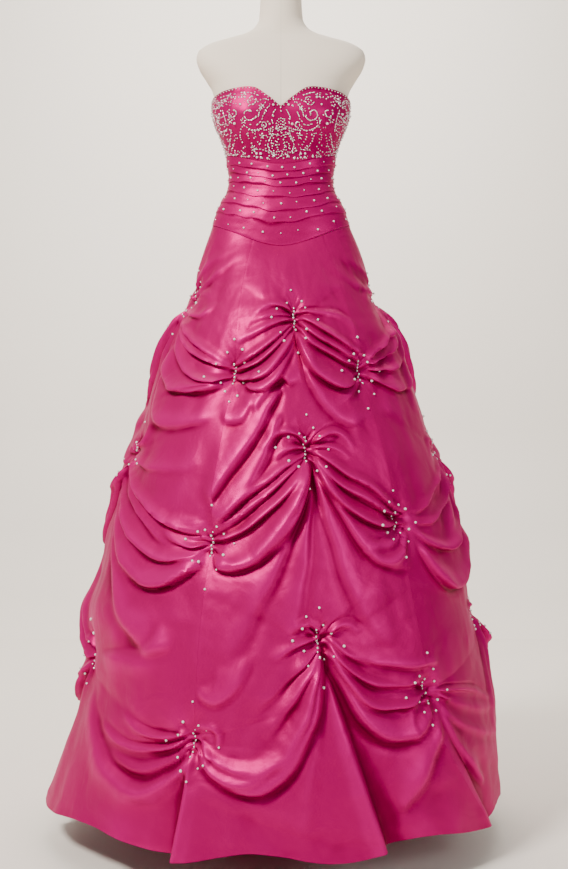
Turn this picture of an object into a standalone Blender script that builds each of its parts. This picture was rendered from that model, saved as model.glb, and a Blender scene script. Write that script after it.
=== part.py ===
"""Strapless A-line evening gown on a limbless dress form.

The gown is a sweetheart bodice, a band of eight pleats that dips to a point in front, and a
five-gore skirt caught up at thirty points, so that its cloth hangs in swags between them.
Angles are in degrees about the vertical axis: 0 is the front (-Y) and 90 the wearer's left (+X).
Lengths are in metres.
"""

import math

import bpy
import numpy as np

# ------------------------------------------------------------------ driving sizes
CLOTH = 0.0016          # thickness of the lined satin
SEAM_GAP = 0.0005       # clear space between two panels at a seam
WAIST_GAP = 0.0008      # clear space between the pleated band and the skirt's top edge
WAIST_FLARE = 0.045     # stretch below the band over which the skirt comes out to its section
SEAM_STEP = 0.10        # share of a column's width over which the cloth's slope at a seam is read
EASE = 0.0044           # outside of the bodice cloth to the dress form
FINE = 0.0003           # smallest gap between pieces that touch

FORM_BASE_Z = 0.930     # underside of the dress form's body
FORM_TOP_Z = 1.668      # top of its neck
STAND_RADIUS = 0.170    # round plate on the floor
STAND_THICKNESS = 0.008
POLE_RADIUS = 0.0125
COLLAR_RADIUS = 0.028
COLLAR_HEIGHT = 0.040

# The dress form, level by level: half width, depth to the front, depth to the back, squareness.
FORM_SECTIONS = (
    # z,    side,   front,  back,   power
    (0.930, 0.1180, 0.0850, 0.1000, 2.2),
    (0.950, 0.1340, 0.0940, 0.1120, 2.2),
    (1.000, 0.1440, 0.0980, 0.1180, 2.2),
    (1.060, 0.1460, 0.0990, 0.1200, 2.2),
    (1.120, 0.1420, 0.0985, 0.1170, 2.2),
    (1.187, 0.1305, 0.0970, 0.1060, 2.2),
    (1.211, 0.1245, 0.0940, 0.1000, 2.15),
    (1.235, 0.1130, 0.0890, 0.0920, 2.1),
    (1.259, 0.1008, 0.0840, 0.0840, 2.1),
    (1.283, 0.0990, 0.0805, 0.0790, 2.1),
    (1.307, 0.1020, 0.0815, 0.0800, 2.1),
    (1.331, 0.1070, 0.0845, 0.0840, 2.15),
    (1.355, 0.1145, 0.0880, 0.0880, 2.2),
    (1.379, 0.1245, 0.0905, 0.0910, 2.2),
    (1.395, 0.1305, 0.0915, 0.0925, 2.2),
    (1.415, 0.1335, 0.0910, 0.0930, 2.25),
    (1.435, 0.1325, 0.0885, 0.0930, 2.3),
    (1.455, 0.1370, 0.0850, 0.0920, 2.4),
    (1.479, 0.1505, 0.0790, 0.0880, 2.5),
    (1.500, 0.1635, 0.0710, 0.0820, 2.5),
    (1.519, 0.1690, 0.0620, 0.0740, 2.4),
    (1.532, 0.1660, 0.0550, 0.0660, 2.3),
    (1.542, 0.1560, 0.0500, 0.0590, 2.2),
    (1.551, 0.1370, 0.0460, 0.0540, 2.1),
    (1.559, 0.1080, 0.0430, 0.0500, 2.0),
    (1.568, 0.0760, 0.0420, 0.0470, 2.0),
    (1.579, 0.0560, 0.0415, 0.0450, 2.0),
    (1.599, 0.0440, 0.0415, 0.0430, 2.0),
    (1.640, 0.0410, 0.0410, 0.0410, 2.0),
    (1.660, 0.0405, 0.0405, 0.0405, 2.0),
    (1.668, 0.0360, 0.0360, 0.0360, 2.0),
)
CUP_RISE, CUP_DEG, CUP_Z = 0.0200, 37.0, 1.386
CUP_SPREAD_DEG, CUP_SPREAD_Z = 21.0, 0.034

# Top edge of the bodice, the same on both sides: a sweetheart dip between two cups.
NECKLINE = (
    # deg, z
    (0, 1.4000), (5, 1.4075), (10, 1.4160), (17, 1.4255), (23, 1.4340), (29, 1.4397),
    (37, 1.4417), (49, 1.4407), (63, 1.4380), (75, 1.4336), (90, 1.4310), (120, 1.4240),
    (150, 1.4120), (180, 1.4050),
)
PRINCESS_DEG = 42.0     # seam between the front and the side panel
SIDE_DEG = 94.0         # seam between the side and the back panel
BACK_DEG = 180.0        # centre back, where the zip is

# Edges of the pleats round the waist, top to bottom: height in front, at the sides, at the back.
PLEAT_EDGES = (
    # front,  side,   back
    (1.2930, 1.3210, 1.3180),
    (1.2780, 1.3040, 1.3020),
    (1.2640, 1.2890, 1.2880),
    (1.2490, 1.2710, 1.2700),
    (1.2260, 1.2520, 1.2500),
    (1.1990, 1.2310, 1.2300),
    (1.1765, 1.2100, 1.2080),
    (1.1320, 1.1840, 1.1780),
)
# Height of a pleat's surface over the band, down its width.
PLEAT_PROFILE = ((0.00, 0.0004), (0.94, 0.0032))

# Skirt before it is caught up: the radius to the wearer's right, left, front and back.
SKIRT_SECTIONS = (
    # z,   right(-X), left(+X), front,  back
    (1.190, 0.1345, 0.1345, 0.1005, 0.1095),
    (1.139, 0.1500, 0.1530, 0.1190, 0.1280),
    (1.100, 0.1600, 0.1640, 0.1390, 0.1480),
    (1.060, 0.1700, 0.1780, 0.1600, 0.1690),
    (1.030, 0.1830, 0.1900, 0.1760, 0.1840),
    (1.000, 0.1980, 0.2040, 0.1930, 0.2000),
    (0.960, 0.2140, 0.2260, 0.2110, 0.2180),
    (0.880, 0.2380, 0.2500, 0.2440, 0.2500),
    (0.800, 0.2640, 0.2780, 0.2720, 0.2760),
    (0.740, 0.2880, 0.3010, 0.2940, 0.2960),
    (0.660, 0.3080, 0.3240, 0.3220, 0.3220),
    (0.580, 0.3340, 0.3500, 0.3440, 0.3440),
    (0.500, 0.3500, 0.3580, 0.3640, 0.3640),
    (0.420, 0.3720, 0.3740, 0.3820, 0.3820),
    (0.340, 0.3720, 0.3920, 0.3980, 0.3980),
    (0.250, 0.3880, 0.4080, 0.4140, 0.4120),
    (0.150, 0.4200, 0.4180, 0.4280, 0.4280),
    (0.060, 0.4480, 0.4300, 0.4380, 0.4420),
)

# Ten columns of gathers, round from the front. Odd ones run down a gore seam, even ones
# down the middle of a gore. Each has its angle at four levels and the heights of its gathers.
COLUMN_LEVELS = (1.170, 0.900, 0.300, 0.060)
COLUMNS = (
    # name,        at the waist, upper, lower, hem;      gathers, top to bottom
    ("front",       (6, 8, 10, 13),         (0.983, 0.743, 0.416)),
    ("front_left",  (43, 37.5, 40, 58),     (0.885, 0.615, 0.319)),
    ("left",        (84, 84, 87, 94),       (1.035, 0.738, 0.420)),
    ("back_left",   (115, 118, 118, 120),   (0.890, 0.600, 0.290)),
    ("rear_left",   (148, 152, 152, 152),   (1.010, 0.740, 0.420)),
    ("back",        (180, 184, 185, 185),   (0.880, 0.590, 0.280)),
    ("rear_right",  (214, 218, 218, 218),   (1.000, 0.735, 0.415)),
    ("back_right",  (247, 252, 252, 250),   (0.885, 0.600, 0.300)),
    ("right",       (283, 285, 285, 282),   (1.027, 0.730, 0.350)),
    ("front_right", (330, 339, 339, 336),   (0.883, 0.578, 0.247)),
)
GORES = (
    # name,             cells between two columns
    ("skirt_front",      9),
    ("skirt_side_left",  8),
    ("skirt_back_left",  5),
    ("skirt_back_right", 5),
    ("skirt_side_right", 8),
)
FIRST_SEAM = -1         # the front gore starts at the seam column before the front one

HEM_LOW, HEM_HIGH = 0.060, 0.080       # the hem at a column and midway between two
PILLOW_RISE = 0.007     # how far the cloth stands out between four gathers
PILLOW_PEAK = 0.74      # its fullest height, as a share of the way down
PINCH_DEPTH = 0.016     # how far a gather pulls the cloth in
PINCH_WIDE, PINCH_TALL = 0.024, 0.036

# Swags that hang from a gather to the lower ones beside it: how far each sags below the
# straight line, its half width, how far it stands out, and where it ends below that gather.
SWAGS = (
    # sag,   half_width, rise,  end_drop
    (0.012, 0.020, 0.0120, -0.006),
    (0.080, 0.024, 0.0175, 0.034),
)
LOOP_REACH, LOOP_LIFT = 0.082, 0.034   # small folds that arch from each side of a gather
LOOP_HALF_WIDTH, LOOP_RISE = 0.016, 0.0100
SWAG_STEEP = 0.90       # half width of a swag's lower side, as a share of its upper side
SWAG_TROUGH = 0.40      # depth of the hollow under a swag, as a share of its rise
FOLD_STEPS = 20         # points that stand for a fold's path

# Straight folds from the lowest gathers to the hem. The cloth on the side of the smaller
# angle lies further out by step; a minus sign puts the other side further out.
FALLS = (
    # column,       hem_deg, step
    ("front",        25.0,   0.040),
    ("front_left",   60.0,   0.022),
    ("left",         101.0,  0.020),
    ("back_left",    120.0, -0.026),
    ("rear_left",    160.0,  0.030),
    ("back",         185.0, -0.024),
    ("rear_right",   209.0, -0.030),
    ("back_right",   250.0,  0.026),
    ("right",        277.0, -0.018),
    ("front_right",  336.0, -0.050),
)
FALL_BLEND = 0.011      # half width of the turn at a fall's edge
FALL_REACH = 0.070      # how fast its step dies away to each side

COLUMN_CLUSTER = 0.55                  # how much closer the cells lie at a column
WAIST_Z = 1.150
CALM_BELOW_WAIST = 0.10                # stretch under the waist over which folds fade in
GATHER_HALF = 0.016                    # half the height of a gather
# Rows of cells that reach the waist, the top and foot of each gather, and the hem.
EVEN_ROWS = (0, 3, 7, 12, 17, 23, 29, 37)
ODD_ROWS = (0, 7, 12, 17, 23, 29, 33, 37)
BODICE_CELL_DEG, BODICE_ROWS = 9.0, 7
BAND_CELL_DEG = 10.0
FORM_SIDES = 32

COLOURS = {
    # name:        red,  green, blue, roughness, metallic
    "satin":      (0.820, 0.012, 0.190, 0.38, 0.0),
    "form":       (0.830, 0.790, 0.740, 0.60, 0.0),
    "steel":      (0.620, 0.620, 0.640, 0.28, 1.0),
}


# ------------------------------------------------------------------ helpers
def smooth_curve(knots, values, at):
    """Cubic curve through the knots that never overshoots: each slope is the harmonic mean
    of its two neighbours, or zero where they differ in sign."""
    order = np.argsort(knots)
    x = np.asarray(knots, float)[order]
    y = np.asarray(values, float)[order]
    step = np.diff(x)
    rate = np.diff(y) / step
    slope = np.concatenate([[rate[0]], np.zeros(len(x) - 2), [rate[-1]]])
    same = rate[:-1] * rate[1:] > 0
    both = rate[:-1] + rate[1:]
    slope[1:-1] = np.where(same, 2 * rate[:-1] * rate[1:] / np.where(same, both, 1), 0)
    at = np.clip(at, x[0], x[-1])
    i = np.clip(np.searchsorted(x, at, side="right") - 1, 0, len(step) - 1)
    t = (at - x[i]) / step[i]
    rise = (1 + 2 * t) * (1 - t) ** 2 * y[i] + t * t * (3 - 2 * t) * y[i + 1]
    return rise + step[i] * (t * (1 - t) ** 2 * slope[i] - t * t * (1 - t) * slope[i + 1])


def columns_of(table, z):
    """Each named column of a table of sections, read at the heights z."""
    table = np.array(table, float)
    return [smooth_curve(table[:, 0], table[:, k], z) for k in range(1, table.shape[1])]


def polar(deg, radius, z):
    """Points at an angle, a radius and a height."""
    turn = np.radians(deg)
    return np.stack(np.broadcast_arrays(radius * np.sin(turn), -radius * np.cos(turn), z), -1)


def oval(deg, minus_x, plus_x, front, back, power=2.0):
    """Radius of a section whose four half axes differ, at each angle."""
    across, along = np.sin(np.radians(deg)), np.cos(np.radians(deg))
    side = np.where(across < 0, minus_x, plus_x)
    depth = np.where(along > 0, front, back)
    return (np.abs(across / side) ** power + np.abs(along / depth) ** power) ** (-1 / power)


def finish(name, points, faces, colour):
    """A named object with its own material, shaded smooth but for its sharp edges."""
    mesh = bpy.data.meshes.new(name)
    mesh.from_pydata([tuple(map(float, p)) for p in points], [], faces)
    mesh.validate()
    mesh.shade_smooth()
    mesh.set_sharp_from_angle(angle=math.radians(50))
    material = bpy.data.materials.get(colour) or bpy.data.materials.new(colour)
    material.use_nodes = True
    shader = material.node_tree.nodes["Principled BSDF"]
    red, green, blue, rough, metal = COLOURS[colour]
    shader.inputs["Base Color"].default_value = (red, green, blue, 1)
    shader.inputs["Roughness"].default_value = rough
    shader.inputs["Metallic"].default_value = metal
    mesh.materials.append(material)
    piece = bpy.data.objects.new(name, mesh)
    bpy.context.scene.collection.objects.link(piece)
    return piece


def unit(vectors):
    """The vectors at length one."""
    return vectors / np.linalg.norm(vectors, axis=-1, keepdims=True)


def grid_normals(points):
    """Outward unit normals of a grid of points whose columns run round and rows run down."""
    round_, down = np.gradient(points, axis=0), np.gradient(points, axis=1)
    return unit(np.cross(down, round_))


def flatter_split(grid):
    """For each cell of a grid, whether a cut along its first diagonal bends it less."""
    a, b, c, d = grid[:-1, :-1], grid[:-1, 1:], grid[1:, 1:], grid[1:, :-1]

    def flatness(p, q, r, s):
        return (unit(np.cross(q - p, r - p)) * unit(np.cross(r - p, s - p))).sum(-1)

    return flatness(a, b, c, d) > flatness(b, c, d, a)


def grid_faces(split, start, flip):
    """Triangles of a grid whose points are numbered from start, column by column."""
    count_v = split.shape[1] + 1
    u, v = np.meshgrid(np.arange(split.shape[0]), np.arange(split.shape[1]), indexing="ij")
    a = start + u * count_v + v
    b, c, d = a + 1, a + count_v + 1, a + count_v
    first = np.where(split[..., None], np.stack([a, b, c], -1), np.stack([b, c, d], -1))
    second = np.where(split[..., None], np.stack([a, c, d], -1), np.stack([b, d, a], -1))
    faces = np.concatenate([first.reshape(-1, 3), second.reshape(-1, 3)])
    return (faces[:, ::-1] if flip else faces).tolist()


def wall_object(name, outer, inner, colour):
    """Closed wall between an outer and an inner grid with the same columns. They may have
    different numbers of rows: the two ends of the wall are then single faces."""
    sides, rows_out, rows_in = outer.shape[0], outer.shape[1], inner.shape[1]
    start = sides * rows_out
    points = np.concatenate([outer.reshape(-1, 3), inner.reshape(-1, 3)])
    split = flatter_split(outer)
    split_in = split if rows_in == rows_out else flatter_split(inner)
    faces = grid_faces(split, 0, False) + grid_faces(split_in, start, True)
    for i in range(sides - 1):
        top_out, top_in = i * rows_out, start + i * rows_in
        low_out, low_in = top_out + rows_out - 1, top_in + rows_in - 1
        faces.append([top_out + rows_out, top_in + rows_in, top_in, top_out])
        faces.append([low_out, low_in, low_in + rows_in, low_out + rows_out])
    for i, turned in ((0, False), (sides - 1, True)):
        if rows_out == rows_in:
            strip = [[i * rows_out + j, start + i * rows_in + j,
                      start + i * rows_in + j + 1, i * rows_out + j + 1]
                     for j in range(rows_out - 1)]
        else:
            strip = [[start + i * rows_in + j for j in range(rows_in)]
                     + [i * rows_out + j for j in reversed(range(rows_out))]]
        faces += [face[::-1] for face in strip] if turned else strip
    return finish(name, points, faces, colour)


# ------------------------------------------------------------------ dress form and bodice
def form_radius(deg, z):
    """Radius of the dress form: its oval section, with two rounded cups in front."""
    side, front, back, power = columns_of(FORM_SECTIONS, z)
    body = oval(deg, side, side, front, back, power)
    turned = (np.asarray(deg) + 180) % 360 - 180
    for cup in (-CUP_DEG, CUP_DEG):
        away = ((turned - cup) / CUP_SPREAD_DEG) ** 2 + ((z - CUP_Z) / CUP_SPREAD_Z) ** 2
        body = body + CUP_RISE * np.exp(-away / 2)
    return body


def neckline_z(deg):
    """Height of the bodice's top edge."""
    turned = np.abs((np.asarray(deg, float) + 180) % 360 - 180)
    table = np.array(NECKLINE)
    return smooth_curve(table[:, 0], table[:, 1], turned)


def pleat_edge_z(deg, edge):
    """Height of a pleat's edge: it runs level at the sides and dips in front."""
    front, side, back = PLEAT_EDGES[edge]
    along = np.cos(np.radians(deg))
    return side + np.where(along > 0, front - side, back - side) * along ** 2


def bodice_panel(name, start_deg, end_deg):
    """One panel of the bodice: a wall between the pleats' top edge and the neckline."""
    half_gap = math.degrees(SEAM_GAP / 2 / 0.11)
    count = max(3, round((end_deg - start_deg) / BODICE_CELL_DEG) + 1)
    cell = (end_deg - start_deg - 2 * half_gap) / (count - 1)
    deg = (start_deg + half_gap + cell * np.arange(-1, count + 1))[:, None]
    down = np.linspace(0, 1, BODICE_ROWS + 1)[None, :]
    low = pleat_edge_z(deg, 0) + SEAM_GAP
    z = neckline_z(deg) * (1 - down) + low * down
    outer = polar(deg, form_radius(deg, z) + EASE, z)
    inner = outer - CLOTH * grid_normals(outer)
    inner[:, [0, -1], 2] = outer[:, [0, -1], 2]
    return wall_object(name, outer[1:-1], inner[1:-1], "satin")


def band_rows():
    """For each row of points down the pleated band: its pleat, how far down it, its relief."""
    rows = [(k, share, rise) for k in range(len(PLEAT_EDGES) - 1)
            for share, rise in PLEAT_PROFILE]
    return rows + [(len(PLEAT_EDGES) - 2, 1.0, PLEAT_PROFILE[-1][1])]


def band_panel(name, start_deg, end_deg):
    """One panel of the pleated band: each pleat swells, then turns under over the next."""
    half_gap = math.degrees(SEAM_GAP / 2 / 0.10)
    count = round((end_deg - start_deg) / BAND_CELL_DEG) + 1
    deg = np.linspace(start_deg + half_gap, end_deg - half_gap, count)
    edge_z = np.stack([pleat_edge_z(deg, k) for k in range(len(PLEAT_EDGES))], -1)
    outer = []
    for pleat, share, rise in band_rows():
        z = edge_z[:, pleat] * (1 - share) + edge_z[:, pleat + 1] * share
        outer.append(polar(deg, form_radius(deg, z) + EASE + rise, z))
    outer = np.stack(outer, 1)
    z = edge_z
    inner = polar(deg[:, None], form_radius(deg[:, None], z) + EASE - CLOTH, z)
    return wall_object(name, outer, inner, "satin")


# ------------------------------------------------------------------ skirt
def mean_radius(z):
    """Radius of the plain skirt, averaged all round, which turns angles into lengths."""
    return sum(columns_of(SKIRT_SECTIONS, z)) / 4


def column_deg(index, z):
    """Angle of a column of gathers at the heights z. The columns repeat every ten."""
    turns, index = divmod(index, len(COLUMNS))
    return smooth_curve(COLUMN_LEVELS, COLUMNS[index][1], z) + 360 * turns


def skirt_top_z(deg):
    """Top edge of the skirt, just under the pleated band."""
    return pleat_edge_z(deg, len(PLEAT_EDGES) - 1) - WAIST_GAP


def plain_radius(deg, z, top):
    """Outside of the plain skirt. Its top edge lies under the band's lower edge, and over a
    short way below that it comes out to the skirt's own section."""
    meets = form_radius(deg, top) + EASE + PLEAT_PROFILE[-1][1]
    away = meets - oval(deg, *columns_of(SKIRT_SECTIONS, top))
    return oval(deg, *columns_of(SKIRT_SECTIONS, z)) + away * np.exp((z - top) / WAIST_FLARE)


def gather_place(column, row):
    """(distance round, height) of a gather, with the distance measured at its own height."""
    z = COLUMNS[column % len(COLUMNS)][2][row]
    return np.radians(column_deg(column, z)), z


def bezier(corners, count=FOLD_STEPS):
    """Points along the curve that four corners steer."""
    t = np.linspace(0, 1, count)[:, None]
    a, b, c, d = np.array(corners, float)
    return (1 - t) ** 3 * a + 3 * t * (1 - t) ** 2 * b + 3 * t * t * (1 - t) * c + t ** 3 * d


def swag_path(high, low, sag, end_drop):
    """A fold that leaves a gather downwards, sags, and comes in level to the lower one.
    Its points are an angle in radians and a height."""
    (turn_a, z_a), (turn_b, z_b) = high, low
    across, end = turn_b - turn_a, z_b - end_drop
    return bezier(((turn_a + 0.04 * across, z_a - 0.3 * sag),
                   (turn_a + 0.30 * across, z_a + 0.35 * (end - z_a) - 0.5 * sag),
                   (turn_a + 0.66 * across, end - 0.75 * sag),
                   (turn_a + 0.97 * across, end)))


def loop_path(gather, side):
    """A small fold that arches up and out from a gather."""
    turn, z = gather
    reach = side * LOOP_REACH / mean_radius(z)
    return bezier(((turn + 0.1 * reach, z + 0.004), (turn + 0.4 * reach, z + LOOP_LIFT),
                   (turn + 0.9 * reach, z + LOOP_LIFT), (turn + reach, z - 0.35 * LOOP_LIFT)))


def neighbours(column, row):
    """The lower gathers beside a gather, and the way to each."""
    is_seam = column % 2 == 1
    lower_row = row + 1 if is_seam else row
    if lower_row < 3:
        for side in (-1, 1):
            yield side, gather_place(column + side, lower_row)


def all_folds():
    """Every swag and loop of the skirt: its path, half width and rise."""
    folds = []
    for column in range(len(COLUMNS)):
        for row in range(3):
            high = gather_place(column, row)
            for side, low in neighbours(column, row):
                for sag, half_width, rise, end_drop in SWAGS:
                    folds.append((swag_path(high, low, sag, end_drop), half_width, rise))
            for side in (-1, 1):
                folds.append((loop_path(high, side), LOOP_HALF_WIDTH, LOOP_RISE))
    return folds


def fold_relief(turn, z, path, half_width, rise):
    """Height that one fold adds: a soft upper side, a steep lower side and a hollow under it,
    fading to nothing at both ends. turn is in radians."""
    middle = path[:, 0].mean()
    turn = (turn - middle + math.pi) % (2 * math.pi) - math.pi
    reach = 4 * half_width
    radius = mean_radius(path[:, 1])
    line = np.stack([(path[:, 0] - middle) * radius, path[:, 1]], -1)
    x = turn * mean_radius(z)
    near = ((x > line[:, 0].min() - reach) & (x < line[:, 0].max() + reach)
            & (z > line[:, 1].min() - reach) & (z < line[:, 1].max() + reach))
    relief = np.zeros_like(x)
    if not near.any():
        return relief
    spot = np.stack([x[near], z[near]], -1)[:, None, :]
    start, along = line[:-1][None], np.diff(line, axis=0)[None]
    share = np.clip(((spot - start) * along).sum(-1) / (along ** 2).sum(-1), 0, 1)
    gap = spot - (start + share[..., None] * along)
    distance = np.linalg.norm(gap, axis=-1)
    best = distance.argmin(1)
    pick = np.arange(len(best))
    way = (best + share[pick, best]) / (len(line) - 1)
    leaning = np.sign(gap[pick, best, 1] * np.abs(along[0, best, 0])
                      - gap[pick, best, 0] * along[0, best, 1]
                      * np.sign(along[0, best, 0]))
    swell = np.sin(math.pi * np.clip(way, 0, 1)) ** 0.6
    d = leaning * distance[pick, best] / (half_width * (0.6 + 0.4 * swell))
    crest = np.exp(-0.5 * np.where(d > 0, d, d / SWAG_STEEP) ** 2)
    hollow = SWAG_TROUGH * np.exp(-0.5 * ((d + 1.7) / 0.7) ** 2)
    relief[near] = rise * swell * (crest - hollow)
    return relief


def fall_relief(deg, z, column, hem_deg, step):
    """Height that a straight fold adds below the lowest gather of a column: the cloth steps
    in across its edge, more and more towards the hem."""
    index = [row[0] for row in COLUMNS].index(column)
    top_z = COLUMNS[index][2][2]
    share = np.clip((top_z - z) / (top_z - HEM_LOW), 0, 1)
    edge = column_deg(index, top_z) * (1 - share) + hem_deg * share
    away = np.radians((deg - edge + 180) % 360 - 180) * mean_radius(z)
    turn = -np.tanh(away / FALL_BLEND) * np.exp(-np.abs(away) / FALL_REACH)
    return step / 2 * turn * share ** 0.7


def pillow_relief(u, z):
    """Height of the cloth between gathers. Each cell is a diamond between four of them: the
    cloth stands out in it, most of all low down, and dips along its edges."""
    relief = np.zeros_like(z)
    for column in range(-1, len(COLUMNS) + 1):
        heights = COLUMNS[column % len(COLUMNS)][2]
        levels = (2 * heights[0] - heights[1] + 0.03, *heights, 2 * heights[2] - heights[1])
        for high, low in zip(levels[:-1], levels[1:]):
            down = (high - z) / (high - low)
            warped = np.where(down < PILLOW_PEAK, down / PILLOW_PEAK - 1,
                              (down - PILLOW_PEAK) / (1 - PILLOW_PEAK))
            edge = np.abs(u - column) + np.abs(warped)
            relief += PILLOW_RISE * np.clip(1 - edge ** 2, 0, 1) ** 0.8 * (edge < 1)
    return relief


def pinch_relief(deg, z):
    """How far the gathers pull the cloth in, a tall dimple round each."""
    relief = np.zeros_like(z)
    for column in range(len(COLUMNS)):
        for row in range(3):
            turn, height = gather_place(column, row)
            away = (np.radians(deg) - turn + math.pi) % (2 * math.pi) - math.pi
            spread = (away * mean_radius(height) / PINCH_WIDE) ** 2
            relief -= PINCH_DEPTH * np.exp(-0.5 * (spread + ((z - height) / PINCH_TALL) ** 2))
    return relief


def column_heights(index):
    """Heights of a column's marks: waist, the top and foot of each gather, hem."""
    gathers = COLUMNS[index % len(COLUMNS)][2]
    ends = [z + end * GATHER_HALF for z in gathers for end in (1, -1)]
    return (WAIST_Z, *ends, HEM_LOW)


def row_height(u, row):
    """Height of a row before the waist and the hem are trimmed. Rows close up at a gather and
    fan out beside it. Between two columns they hang steeply from the even one and come in
    level at the odd one."""
    z = np.zeros_like(u)
    index = np.floor(u).astype(int)
    for column in np.unique(index):
        here = index == column
        even, odd = (column, column + 1) if column % 2 == 0 else (column + 1, column)
        z_even = np.interp(row[here], EVEN_ROWS, column_heights(even))
        z_odd = np.interp(row[here], ODD_ROWS, column_heights(odd))
        z[here] = z_even + (z_odd - z_even) * np.sin(math.pi / 2 * np.abs(u[here] - even))
    return z


def angle_at(u, z):
    """Angle of a place that is u columns round, at a height."""
    deg = np.zeros_like(z)
    index = np.floor(u).astype(int)
    for column in np.unique(index):
        here = index == column
        low, high = column_deg(int(column), z[here]), column_deg(int(column) + 1, z[here])
        deg[here] = low + (u[here] - column) * (high - low)
    return deg


def skirt_points(u, row):
    """Points of the skirt's outside. u counts columns of gathers, row runs down."""
    between = (1 - np.cos(2 * math.pi * u)) / 2
    at_waist = np.clip(1 - row / EVEN_ROWS[1], 0, 1)
    at_hem = np.clip((row - ODD_ROWS[-2]) / (ODD_ROWS[-1] - ODD_ROWS[-2]), 0, 1)
    plain = row_height(u, row) + (HEM_HIGH - HEM_LOW) * between * at_hem
    z = plain
    for _ in range(3):
        deg = angle_at(u, z)
        top = skirt_top_z(deg)
        z = plain + (top - WAIST_Z) * at_waist
    relief = pillow_relief(u % len(COLUMNS), z) + pinch_relief(deg, z)
    for path, half_width, rise in all_folds():
        relief += fold_relief(np.radians(deg), z, path, half_width, rise)
    for column, hem_deg, step in FALLS:
        relief += fall_relief(deg, z, column, hem_deg, step)
    calm = np.clip((top - z) / CALM_BELOW_WAIST, 0, 1)
    return polar(deg, plain_radius(deg, z, top) + relief * calm, z)


def seam_line(column):
    """Normals of the cloth along a seam, and the way round across it, from the cloth a little
    to each side. The two gores that meet there share them, so that their edges run parallel."""
    u, row = np.meshgrid(column + np.array([-SEAM_STEP, 0, SEAM_STEP]),
                         np.arange(EVEN_ROWS[-1] + 1.0), indexing="ij")
    points = skirt_points(u, row)
    return grid_normals(points)[1], unit(points[2] - points[0])


def gore(name, first_column, cells):
    """One gore: a wall two columns wide, between two seams."""
    share = np.linspace(0, 1, cells + 1)
    half = share - COLUMN_CLUSTER * np.sin(2 * math.pi * share) / (2 * math.pi)
    u = first_column + np.concatenate([half, 1 + half[1:]])
    grid_u, grid_row = np.meshgrid(u, np.arange(EVEN_ROWS[-1] + 1.0), indexing="ij")
    outer = skirt_points(grid_u, grid_row)
    normals = grid_normals(outer)
    normals[0], first_way = seam_line(first_column)
    normals[-1], last_way = seam_line(first_column + 2)
    inner = outer - CLOTH * normals
    inner[:, [0, -1], 2] = outer[:, [0, -1], 2]
    for wall in (outer, inner):
        wall[0] += SEAM_GAP / 2 * first_way
        wall[-1] -= SEAM_GAP / 2 * last_way
    return wall_object(name, outer, inner, "satin")


# ------------------------------------------------------------------ form, stand and zip
def lathe_like(name, rings, colour):
    """Closed body through rings of points, lowest first, with a flat face on each end."""
    count, sides = rings.shape[:2]
    faces = [[i * sides + j, i * sides + (j + 1) % sides,
              (i + 1) * sides + (j + 1) % sides, (i + 1) * sides + j]
             for i in range(count - 1) for j in range(sides)]
    faces.append(list(range(sides))[::-1])
    faces.append([(count - 1) * sides + j for j in range(sides)])
    return finish(name, rings.reshape(-1, 3), faces, colour)


def dress_form():
    """Neck, shoulders without arms, and body down to the hips, in one smooth piece."""
    deg = np.arange(FORM_SIDES) * 360 / FORM_SIDES
    z = np.array([row[0] for row in FORM_SECTIONS])[:, None]
    return lathe_like("dress_form", polar(deg[None], form_radius(deg[None], z), z), "form")


def round_bar(name, profile, colour, sides=32):
    """Body turned about the vertical axis from (radius, height) pairs, lowest first."""
    deg = np.arange(sides) * 360 / sides
    rings = np.stack([polar(deg, radius, z) for radius, z in profile])
    return lathe_like(name, rings, colour)


def stand():
    """Round plate on the floor, a pole, and the collar that the form sits on."""
    top = STAND_THICKNESS
    round_bar("stand_plate", ((STAND_RADIUS, 0), (STAND_RADIUS, top - 0.002),
                              (STAND_RADIUS - 0.002, top)), "steel")
    collar_z = FORM_BASE_Z - FINE - COLLAR_HEIGHT
    round_bar("stand_pole", ((POLE_RADIUS, top + FINE), (POLE_RADIUS, collar_z - FINE)), "steel")
    round_bar("stand_collar", ((COLLAR_RADIUS - 0.004, collar_z),
                               (COLLAR_RADIUS, collar_z + 0.006),
                               (COLLAR_RADIUS, FORM_BASE_Z - FINE)), "steel")


def main():
    for old in list(bpy.data.objects):
        bpy.data.objects.remove(old)
    dress_form()
    stand()
    bodice_panel("bodice_front", -PRINCESS_DEG, PRINCESS_DEG)
    bodice_panel("bodice_side_left", PRINCESS_DEG, SIDE_DEG)
    bodice_panel("bodice_side_right", -SIDE_DEG, -PRINCESS_DEG)
    bodice_panel("bodice_back_left", SIDE_DEG, BACK_DEG)
    bodice_panel("bodice_back_right", -BACK_DEG, -SIDE_DEG)
    band_panel("band_front", -SIDE_DEG, SIDE_DEG)
    band_panel("band_back_left", SIDE_DEG, BACK_DEG)
    band_panel("band_back_right", -BACK_DEG, -SIDE_DEG)
    for k, (name, cells) in enumerate(GORES):
        gore(name, FIRST_SEAM + 2 * k, cells)


main()
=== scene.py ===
"""Strapless A-line evening gown in pink satin on a limbless dress form.

Laid out as a Blender add-on and run as a script: each operator makes one piece or group of like
pieces of the gown. Angles are in degrees about the vertical axis, 0 at the front and 90 at the
wearer's left (+X). Lengths are in metres.
"""

import math

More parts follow.
